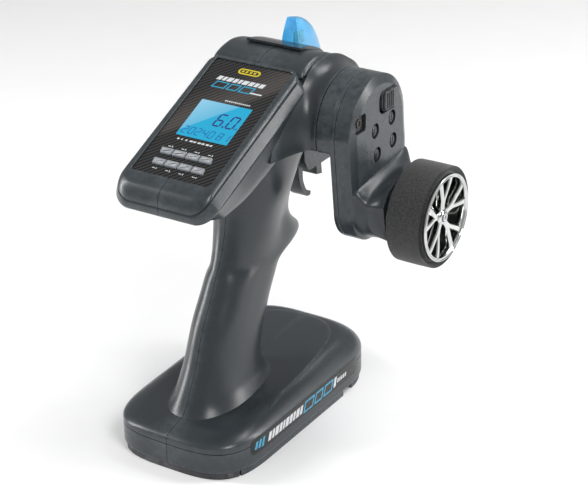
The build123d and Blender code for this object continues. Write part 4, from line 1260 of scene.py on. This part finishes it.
# ---------------------------------------------------------------- wheel
def build_wheel():
    """Chrome rim with forked spokes, dark dish and foam tyre."""
    chrome = finish_named("rim_chrome")
    face = RIM_FACE_X
    rim = Form()
    inboard = TYRE_LOW[0] + 0.3
    barrel = ((inboard, 25.3), (face - 2.4, 25.3), (face - 2.0, 26.5), (face - 0.7, RIM_RADIUS), (face, 26.4),
              (face + 0.05, 26.0), (face - 0.5, 25.6), (face - 0.55, 25.2), (face - 0.1, 24.8),
              (face - 0.15, 24.4), (face - 1.2, 23.9), (face - 4.5, 23.3), (inboard, 23.2))
    hub = ((95, 3.05), (95, 5.2), (face - 7.0, 5.6), (face - 3.4, 5.2), (face - 2.3, 4.3), (face - 1.9, 3.0),
           (face - 2.3, 2.7), (face - 3.2, 2.6), (face - 3.2, 1.4), (105, 1.4), (105, 3.05))
    rim.lathe(barrel, WHEEL_Y, WHEEL_Z, 128)
    rim.lathe(hub, WHEEL_Y, WHEEL_Z, 64)
    dress("wheel_rim", rim, "wheel")
    half = ((3.6, 2.1), (7.5, 1.9), (11.0, 2.5), (15.0, 4.4), (19.5, 6.4), (24.2, 8.6), (24.2, 4.3),
            (19.5, 2.7), (15.5, 1.2))
    outline = list(half) + [(13.0, 0.0)] + [(r, -w) for r, w in reversed(half)]
    outline.reverse()

    def spoke_point(out, across, level):
        dish = 1.9 * smooth_step(3, 24, out)
        return (level + dish, across, out)

    spoke = Form()
    inner = inset_loop(outline, 0.55)
    rings = [[spoke_point(r, w, -2.2) for r, w in outline], [spoke_point(r, w, 0.2) for r, w in outline],
             [spoke_point(r, w, 0.85) for r, w in inner]]
    spoke.loft(rings)
    count = bpy.context.scene.transmitter_sizes.spokes
    mesh = copied_mesh(mesh_of("spoke", spoke), count, (face - 3.6, WHEEL_Y, WHEEL_Z), (0, 0, 0),
                       (360 / count, 0, 0), chrome)
    place_mesh("wheel_spokes", mesh, [chrome], "wheel", "rim_chrome")
    rib = Form().slab(rounded_box(-0.45, 4.6, 0.45, 23.4, 0.4, 2), on_side, -5.0, 0.0, edge=0.2)
    mesh = copied_mesh(mesh_of("rib", rib), 2 * count, (face - 7.2, WHEEL_Y, WHEEL_Z), (0, 0, 0),
                       (180 / count, 0, 0), chrome)
    place_mesh("wheel_back_ribs", mesh, [chrome], "wheel", "rim_chrome")
    dish = Form().lathe(((97.0, 5.0), (99.0, 5.0), (99.0, 23.4), (97.0, 23.4)), WHEEL_Y, WHEEL_Z, 96)
    place_form("wheel_dish", dish, [finish_named("black_parts")], "wheel", "black_parts")
    low, high = TYRE_LOW[0], TYRE_HIGH[0]
    round_over = bpy.context.scene.transmitter_sizes.tyre_shoulder / MM
    profile = [(low + 0.6, 25.4), (low, 26.4)]
    for step in range(7):
        retreat = round_over * (1 - sin(pi / 2 * step / 6))
        profile.append((low + retreat, TYRE_RADIUS - retreat - 0.15))
    profile[2:] = sorted(profile[2:], key=lambda point: point[1])
    middle = (low + high) / 2
    profile += [(middle - 5, TYRE_RADIUS - 0.03), (middle, TYRE_RADIUS), (middle + 5, TYRE_RADIUS - 0.03)]
    mirrored = [(low + high - x, r) for x, r in reversed(profile[2:-3])]
    profile += mirrored + [(high, 26.8), (high - 0.6, 25.4)]
    tyre = dress("foam_tyre", Form().lathe(profile, WHEEL_Y, WHEEL_Z, 144), "wheel", angle=60)


# ---------------------------------------------------------------- panel
PRINT_TOP, OVERPRINT_TOP = 0.06, 0.08  # how high the panel's ink stands, and the dark film printed over it
DIGIT_LEVEL, DIGIT_FILM = 0.07, 0.05  # where the digits' film starts, and how thick it is
SEGMENTS = {"0": "abcdef", "1": "bc", "2": "abged", "4": "fgbc", "5": "afgcd", "6": "afgedc", "8": "abcdefg"}


def add_digit(form, digit, left, bottom, width, height, stroke, level, finish=0):
    """Seven-segment digit printed on the panel, leaning a little."""
    middle = height / 2
    bars = {
        "a": ((0, height), (width, height)), "b": ((width, middle), (width, height)),
        "c": ((width, 0), (width, middle)),
        "d": ((0, 0), (width, 0)), "e": ((0, 0), (0, middle)), "f": ((0, middle), (0, height)),
        "g": ((0, middle), (width, middle)),
    }
    for key in SEGMENTS[digit]:
        start, end = Vector(bars[key][0]), Vector(bars[key][1])
        along = (end - start).normalized()
        side = Vector((-along.y, along.x)) * stroke / 2
        start, end = start + along * stroke * 0.16, end - along * stroke * 0.16
        tip = along * stroke / 2
        loop = [start, start + tip + side, end - tip + side, end, end - tip - side, start + tip - side]
        outline = [(left + point.x + 0.14 * point.y, bottom + point.y) for point in loop]
        form.slab(outline, panel_point, level, level + DIGIT_FILM, finish)


def lean_bar(left, bottom, width, height, lean=0.35):
    """Leaning bar as a flat loop."""
    return [(left, bottom), (left + width, bottom), (left + width + lean * height, bottom + height),
            (left + lean * height, bottom + height)]


def build_panel():
    """Panel film, display and generic print."""
    film = Form()
    film.slab(rounded_box(-PANEL_HALF[0], -PANEL_HALF[1], PANEL_HALF[0], PANEL_HALF[1], 1.8), panel_point,
              -0.9, 0.0, edge=0.12)
    dress("display_panel", film)
    screen = Form()
    screen.slab(rounded_box(-16.4, -15.6, 18.5, 14.5, 0.5, 2), panel_point, -0.5, 0.08, edge=0.05)
    dress("lcd_window", screen)
    white, blue, yellow = finish_named("white_ink"), finish_named("blue_ink"), finish_named("yellow_ink")
    marks = Form()
    left = -17.5
    for width in (3.0, 2.2, 3.4, 2.6, 2.0, 3.6, 3.0, 2.4, 3.2):
        marks.slab(lean_bar(left, 31.8, width, 3.3), panel_point, 0.0, PRINT_TOP, 0)
        left += width + 0.85
    left = -17.5
    for width in (9.0, 7.0, 8.4):
        outline = lean_bar(left, 25.4, width, 5.4)
        inner = inset_loop(outline, 0.8)
        marks.slab(outline, panel_point, 0.0, 0.05, 1)
        marks.slab(inner, panel_point, 0.0, OVERPRINT_TOP, 3)
        left += width + 1.3
    marks.slab(rounded_box(8.4, 26.0, 17.5, 27.0, 0.3, 2), panel_point, 0.0, 0.05, 0)
    marks.slab(rounded_box(-7.5, 39.6, 7.5, 44.2, 2.2), panel_point, 0.0, 0.05, 2)
    marks.slab(rounded_box(-6.3, 40.6, 6.3, 43.2, 1.2), panel_point, 0.0, OVERPRINT_TOP, 3)
    for step in range(4):
        marks.slab(lean_bar(-5.3 + 2.7 * step, 41.2, 1.5, 1.4), panel_point, 0.0, 0.1, 2)
    for step in range(13):
        marks.slab(lean_bar(-2.0 + 1.35 * step, 16.4, 0.85, 1.0), panel_point, 0.0, PRINT_TOP, 0)
    for step, width in enumerate((1.2, 0.7, 1.2, 2.2, 1.6, 2.2, 1.8, 2.0, 1.4)):
        marks.slab(lean_bar(-13.5 + 2.8 * step, -19.0, width, 1.2), panel_point, 0.0, PRINT_TOP, 0)
    for column in range(4):
        centre = (column - 1.5) * 9.1
        for row in (-25.6, -43.4):
            for box in ((centre - 1.6, row, centre + 0.4, row + 0.5),
                        (centre + 1.0, row - 0.4, centre + 1.5, row + 0.9)):
                marks.slab(rounded_box(*box, 0.2, 2), panel_point, 0.0, PRINT_TOP, 0)
    place_form("panel_print", marks, [white, blue, yellow, finish_named("label_film")], "frame", "label_film")
    digits = Form()
    level = DIGIT_LEVEL
    add_digit(digits, "6", 1.2, -3.2, 4.6, 9.4, 1.05, level)
    digits.slab(rounded_box(7.6, -3.6, 8.8, -2.4, 0.3, 2), panel_point, level, level + DIGIT_FILM)
    add_digit(digits, "0", 9.8, -3.2, 4.6, 9.4, 1.05, level)
    for step in range(3):
        digits.slab(lean_bar(15.9 + 0.7 * step, -3.4 + 0.2 * step, 0.35, 1.3, -0.3 if step % 2 == 0 else 0.3),
                    panel_point, level, level + DIGIT_FILM)
    place_form("display_digits", digits, [finish_named("digit_ink")], "frame", "lcd_glass")
    small = Form()
    left = -14.6
    for digits_run, gap in (("20240", 0.0), ("81", 1.4)):
        for digit in digits_run:
            add_digit(small, digit, left + gap, -13.2, 2.7, 5.4, 0.5, level)
            left += 4.5
    place_form("display_small_digits", small, [finish_named("ghost_ink")], "frame", "lcd_glass")


def build_keys():
    """Eight panel keys; the end keys have slanted outer ends."""
    top = bpy.context.scene.transmitter_sizes.key_height / MM
    tilt = radians(PANEL_TILT)
    for number in range(1, 9):
        low, high = box_mm("key_%d" % number)
        x = (low[0] + high[0]) / 2
        offset = Vector(((low[1] + high[1]) / 2 - PANEL_CENTRE[0], (low[2] + high[2]) / 2 - PANEL_CENTRE[1]))
        along = offset.x * cos(tilt) + offset.y * sin(tilt)
        half, depth = 4.12, 2.22
        column = (number - 1) % 4
        lean = 0.9
        corners = [(-half, -depth), (half, -depth), (half, depth), (-half, depth)]
        if column == 0:
            corners[0] = (-half + lean, -depth)
        if column == 3:
            corners[2] = (half - lean, depth)
        outline = rounded_polygon([(x + u, along + v) for u, v in corners], 0.55)
        form = Form()
        rings = []
        for inset, height in ((0.0, -2.0), (0.0, top - 0.55), (0.16, top - 0.2), (0.45, top), (0.8, top - 0.06),
                              (1.2, top - 0.3)):
            rings.append([panel_point(u, v, height) for u, v in inset_loop(outline, inset)])
        form.loft(rings)
        dress("key_%d" % number, form, "key_%d" % number, angle=50)


def build_labels():
    """Woven-look strips let into both sides of the base, with generic bars."""
    inks = [finish_named("side_film"), finish_named("white_ink"), finish_named("blue_ink")]
    for side, name in ((1, "right_label"), (-1, "left_label")):
        low, high = box_mm(name)
        start, end, bottom, top = low[1], high[1], low[2], high[2]
        loop = [point for point in base_loop(0.0) if point[0] * side > 30]
        loop.sort(key=lambda point: point[1])

        def wall_x(y, out, loop=loop, side=side):
            table = [(point[1], abs(point[0])) for point in loop]
            for k in range(len(table) - 1):
                if table[k][0] <= y <= table[k + 1][0]:
                    t = (y - table[k][0]) / (table[k + 1][0] - table[k][0])
                    return side * (table[k][1] + (table[k + 1][1] - table[k][1]) * t + out)
            return side * (table[0][1] + out)

        def on_wall(u, v, height):
            return wall_x(u, height), u, v

        form = Form()
        steps = 60
        corner = 2.2
        rings = []
        for step in range(steps + 1):
            y = start + (end - start) * step / steps
            reach = min(y - start, end - y)
            trim = corner - sqrt(max(corner**2 - max(corner - reach, 0.0) ** 2, 0.0))
            ring = [on_wall(y, bottom + trim, -0.4), on_wall(y, bottom + trim, 0.14),
                    on_wall(y, top - trim, 0.14), on_wall(y, top - trim, -0.4)]
            rings.append(ring)
        form.loft(rings, 0)
        u = start + 16.0
        for width in (3.2, 2.2, 3.6, 2.8, 2.0, 3.4, 3.0, 2.4, 3.6, 2.6):
            form.slab(lean_bar(u, 13.4, width, 5.4), on_wall, 0.1, 0.2, 1)
            u += width + 1.0
        for width in (11.0, 9.0, 10.0):
            outline = lean_bar(u + 0.6, 12.4, width, 7.2)
            form.slab(outline, on_wall, 0.1, 0.19, 2)
            form.slab(inset_loop(outline, 1.1), on_wall, 0.1, 0.22, 0)
            u += width + 1.6
        form.slab(lean_bar(u + 1.0, 13.0, 2.6, 6.4, 0.3), on_wall, 0.1, 0.2, 1)
        for count in range(5):
            form.slab(lean_bar(u + 5.6 + 2.3 * count, 14.6, 1.4, 2.6, 0.3), on_wall, 0.1, 0.2, 1)
        for count in range(3):
            bar = lean_bar(start + 3.0 + 3.2 * count, 14.0 - 0.4 * count, 2.0, 4.6 + 0.6 * count)
            form.slab(bar, on_wall, 0.1, 0.2, 2)
        dress(name, form, finishes=inks)


# ---------------------------------------------------------------- remaining pieces
def build_grip_insert():
    """Leaf-shaped soft insert on the front of the grip."""
    form = Form()
    leaf = ((50, 0.4), (60, 6.2), (70, 9.6), (78, 11.2), (90, 9.6), (98, 5.6), (104, 0.4))
    rings = []
    for step in range(49):
        z = 50.2 + 53.6 * step / 48
        width = grip_section(z)[2]
        half = curve_value(leaf, z)
        ring = []
        columns = 14
        for k in range(columns + 1):
            x = -half + 2 * half * k / columns
            swing = (min(abs(x) / width, 1.0)) ** (GRIP_POWER / 2)
            angle = pi - (1 if x >= 0 else -1) * atan2(swing, sqrt(max(1 - swing * swing, 0.0)))
            edge = 1 - abs(2 * k / columns - 1)
            lift = 0.34 * smooth_step(0, 0.12, edge) - 0.04
            side, front, height = grip_point(z, angle)
            ring.append((side, front + lift, height))
        back = [(x, y - 1.6, z) for x, y, z in reversed(ring)]
        rings.append(ring + back)
    form.loft(rings)
    dress("grip_insert", form, angle=50)


# height, rear Y, front Y and half width of the antenna fin
FIN_SECTIONS = (
    (205.0, 57.0, 93.5, 6.4), (212.0, 57.1, 91.0, 6.3), (218.0, 57.2, 88.2, 6.25), (223.0, 57.3, 85.2, 6.1),
    (226.0, 57.5, 82.8, 5.8), (229.0, 57.8, 79.8, 5.3), (232.5, 58.2, 75.6, 4.6),
    (235.3, 58.5, 71.0, 4.0), (237.3, 58.8, 66.4, 3.5), (238.4, 59.2, 62.5, 3.1),
)


def build_head_fittings():
    """Antenna pad and fin, and the power switch."""
    dressed_node("antenna_pad", 0.2, finish_named("pad_plastic"))
    fin = Form()
    rings = []
    for z, rear, front, half in FIN_SECTIONS:
        length = front - rear
        right = [(half, rear), (half * 0.98, rear + length * 0.2), (half * 0.86, rear + length * 0.42),
                 (half * 0.62, rear + length * 0.66), (half * 0.3, rear + length * 0.88)]
        loop = [(0.0, rear)] + right + [(0.0, front)] + [(-x, y) for x, y in reversed(right)]
        rings.append([(x, y, z) for x, y in loop])
    fin.loft(rings)
    dress("antenna_fin", fin, bevel=0.35)
    dressed_node("power_switch", 0.35, finish_named("control_plastic"))


def build_trigger():
    """Trigger and its housing, battery door, feet and wheel screw."""
    for node, bevel, finish, segments in (
        ("trigger", 0.7, "control_plastic", 3), ("trigger_housing", 1.2, "shell_plastic", 3),
        ("battery_door", 0.35, "shell_plastic", 2), ("rear_foot", 0.5, "foot_plastic", 2),
        ("front_foot", 0.5, "foot_plastic", 2), ("wheel_screw", 0.18, "steel", 2),
    ):
        dressed_node(node, bevel, finish_named(finish), segments)


def finish_other_nodes():
    """Procedural finishes on the CAD nodes that stay."""
    for node, piece in frame["nodes"].items():
        if piece.hide_render:
            continue
        finish = finish_named("black_parts" if node == "status_led" else node_slot(node))
        for index in range(len(piece.data.materials)):
            piece.data.materials[index] = finish


# ---------------------------------------------------------------- stage
FLOOR_SIZE = 6000.0
AIM = (-9.22, 72.28, 80.47)
CAMERA_ROLL = -0.92
LENS = 116.41


def build_stage():
    """Pale floor, soft lights and the camera."""
    scene = bpy.context.scene
    half = FLOOR_SIZE / 2 * MM
    mesh = bpy.data.meshes.new("floor")
    mesh.from_pydata([(-half, -half, 0), (half, -half, 0), (half, half, 0), (-half, half, 0)], [], [(0, 1, 2, 3)])
    floor = bpy.data.objects.new("floor", mesh)
    scene.collection.objects.link(floor)
    material, finish, shader, place = new_finish("floor_paper", {"Roughness": 0.7})
    tone = finish.mix(finish.noise(place, 30.0, 3.0, 0.5), (0.90, 0.90, 0.90, 1), (0.93, 0.93, 0.93, 1))
    finish.feed(shader, "Base Color", tone)
    mesh.materials.append(material)
    world = bpy.data.worlds.new("studio")
    world.use_nodes = True
    background = world.node_tree.nodes["Background"]
    background.inputs["Color"].default_value = (1.0, 1.0, 1.0, 1)
    background.inputs["Strength"].default_value = 0.42
    scene.world = world
    lights = (
        # name, place, aim, width, height, power
        ("key_light", (900, -500, 1100), (0, 20, 140), 450, 650, 9.0),
        ("side_strip", (1000, 650, 450), (40, 40, 150), 160, 1100, 8.0),
        ("left_strip", (-850, -420, 420), (0, 0, 140), 130, 1100, 9.0),
        ("top_panel", (420, 620, 1250), (0, 20, 120), 800, 400, 7.0),
    )
    for name, spot, aim, width, height, power in lights:
        data = bpy.data.lights.new(name, "AREA")
        data.shape = "RECTANGLE"
        data.size, data.size_y = width * MM, height * MM
        data.energy = power
        lamp = bpy.data.objects.new(name, data)
        lamp.location = [value * MM for value in spot]
        way = Vector(aim) - Vector(spot)
        lamp.rotation_euler = way.to_track_quat("-Z", "Y").to_euler()
        scene.collection.objects.link(lamp)
    sizes = scene.transmitter_sizes
    azimuth, elevation = sizes.camera_azimuth, sizes.camera_elevation
    ahead = Vector((-sin(azimuth) * cos(elevation), cos(azimuth) * cos(elevation), -sin(elevation)))
    right = Vector((cos(azimuth), sin(azimuth), 0))
    up = right.cross(ahead)
    roll = radians(CAMERA_ROLL)
    level, upright = right * cos(roll) + up * sin(roll), up * cos(roll) - right * sin(roll)
    data = bpy.data.cameras.new("camera")
    data.lens = LENS
    data.sensor_width = 36.0
    data.clip_end = 100.0
    camera = bpy.data.objects.new("camera", data)
    spot = Vector(AIM) * MM - ahead * sizes.camera_distance
    camera.matrix_world = Matrix((
        (level.x, upright.x, -ahead.x, spot.x), (level.y, upright.y, -ahead.y, spot.y),
        (level.z, upright.z, -ahead.z, spot.z), (0, 0, 0, 1)))
    scene.collection.objects.link(camera)
    scene.camera = camera
    scene.view_settings.view_transform = "Standard"


# ---------------------------------------------------------------- operators
class TRANSMITTER_OT_shells(bpy.types.Operator):
    """Build the two main shells"""

    bl_idname = "transmitter.shells"
    bl_label = "Shells"

    def execute(self, context):
        build_shells()
        build_grip_insert()
        return {"FINISHED"}


class TRANSMITTER_OT_pod(bpy.types.Operator):
    """Build the steering pod and its controls"""

    bl_idname = "transmitter.pod"
    bl_label = "Pod"

    def execute(self, context):
        build_pod()
        build_pod_controls()
        return {"FINISHED"}


class TRANSMITTER_OT_wheel(bpy.types.Operator):
    """Build the steering wheel"""

    bl_idname = "transmitter.wheel"
    bl_label = "Wheel"

    def execute(self, context):
        build_wheel()
        return {"FINISHED"}


class TRANSMITTER_OT_panel(bpy.types.Operator):
    """Build the display panel, its print and its keys"""

    bl_idname = "transmitter.panel"
    bl_label = "Panel and Keys"

    def execute(self, context):
        build_panel()
        build_keys()
        return {"FINISHED"}


class TRANSMITTER_OT_labels(bpy.types.Operator):
    """Build the strips along the base"""

    bl_idname = "transmitter.labels"
    bl_label = "Side Strips"

    def execute(self, context):
        build_labels()
        return {"FINISHED"}


class TRANSMITTER_OT_fittings(bpy.types.Operator):
    """Build the antenna, trigger, feet and small fittings"""

    bl_idname = "transmitter.fittings"
    bl_label = "Fittings"

    def execute(self, context):
        build_head_fittings()
        build_trigger()
        finish_other_nodes()
        return {"FINISHED"}


class TRANSMITTER_OT_stage(bpy.types.Operator):
    """Build the floor, lights and camera"""

    bl_idname = "transmitter.stage"
    bl_label = "Stage"

    def execute(self, context):
        build_stage()
        return {"FINISHED"}


class TRANSMITTER_PT_panel(bpy.types.Panel):
    """Transmitter tools"""

    bl_label = "Transmitter"
    bl_idname = "TRANSMITTER_PT_panel"
    bl_space_type = "VIEW_3D"
    bl_region_type = "UI"
    bl_category = "Transmitter"

    def draw(self, context):
        layout = self.layout
        for group in (context.scene.transmitter_sizes, context.scene.transmitter_colours):
            for key in group.__annotations__:
                layout.prop(group, key)
        for operator in OPERATORS:
            layout.operator(operator.bl_idname)


OPERATORS = (
    TRANSMITTER_OT_stage,
    TRANSMITTER_OT_shells,
    TRANSMITTER_OT_pod,
    TRANSMITTER_OT_wheel,
    TRANSMITTER_OT_panel,
    TRANSMITTER_OT_labels,
    TRANSMITTER_OT_fittings,
)
CLASSES = (TransmitterSizes, TransmitterColours) + OPERATORS + (TRANSMITTER_PT_panel,)


def register():
    for item in CLASSES:
        bpy.utils.register_class(item)
    bpy.types.Scene.transmitter_sizes = bpy.props.PointerProperty(type=TransmitterSizes)
    bpy.types.Scene.transmitter_colours = bpy.props.PointerProperty(type=TransmitterColours)


def unregister():
    del bpy.types.Scene.transmitter_colours
    del bpy.types.Scene.transmitter_sizes
    for item in reversed(CLASSES):
        bpy.utils.unregister_class(item)


def main():
    register()
    for operator in OPERATORS:
        group, name = operator.bl_idname.split(".")
        getattr(getattr(bpy.ops, group), name)()


if __name__ == "__main__":
    main()
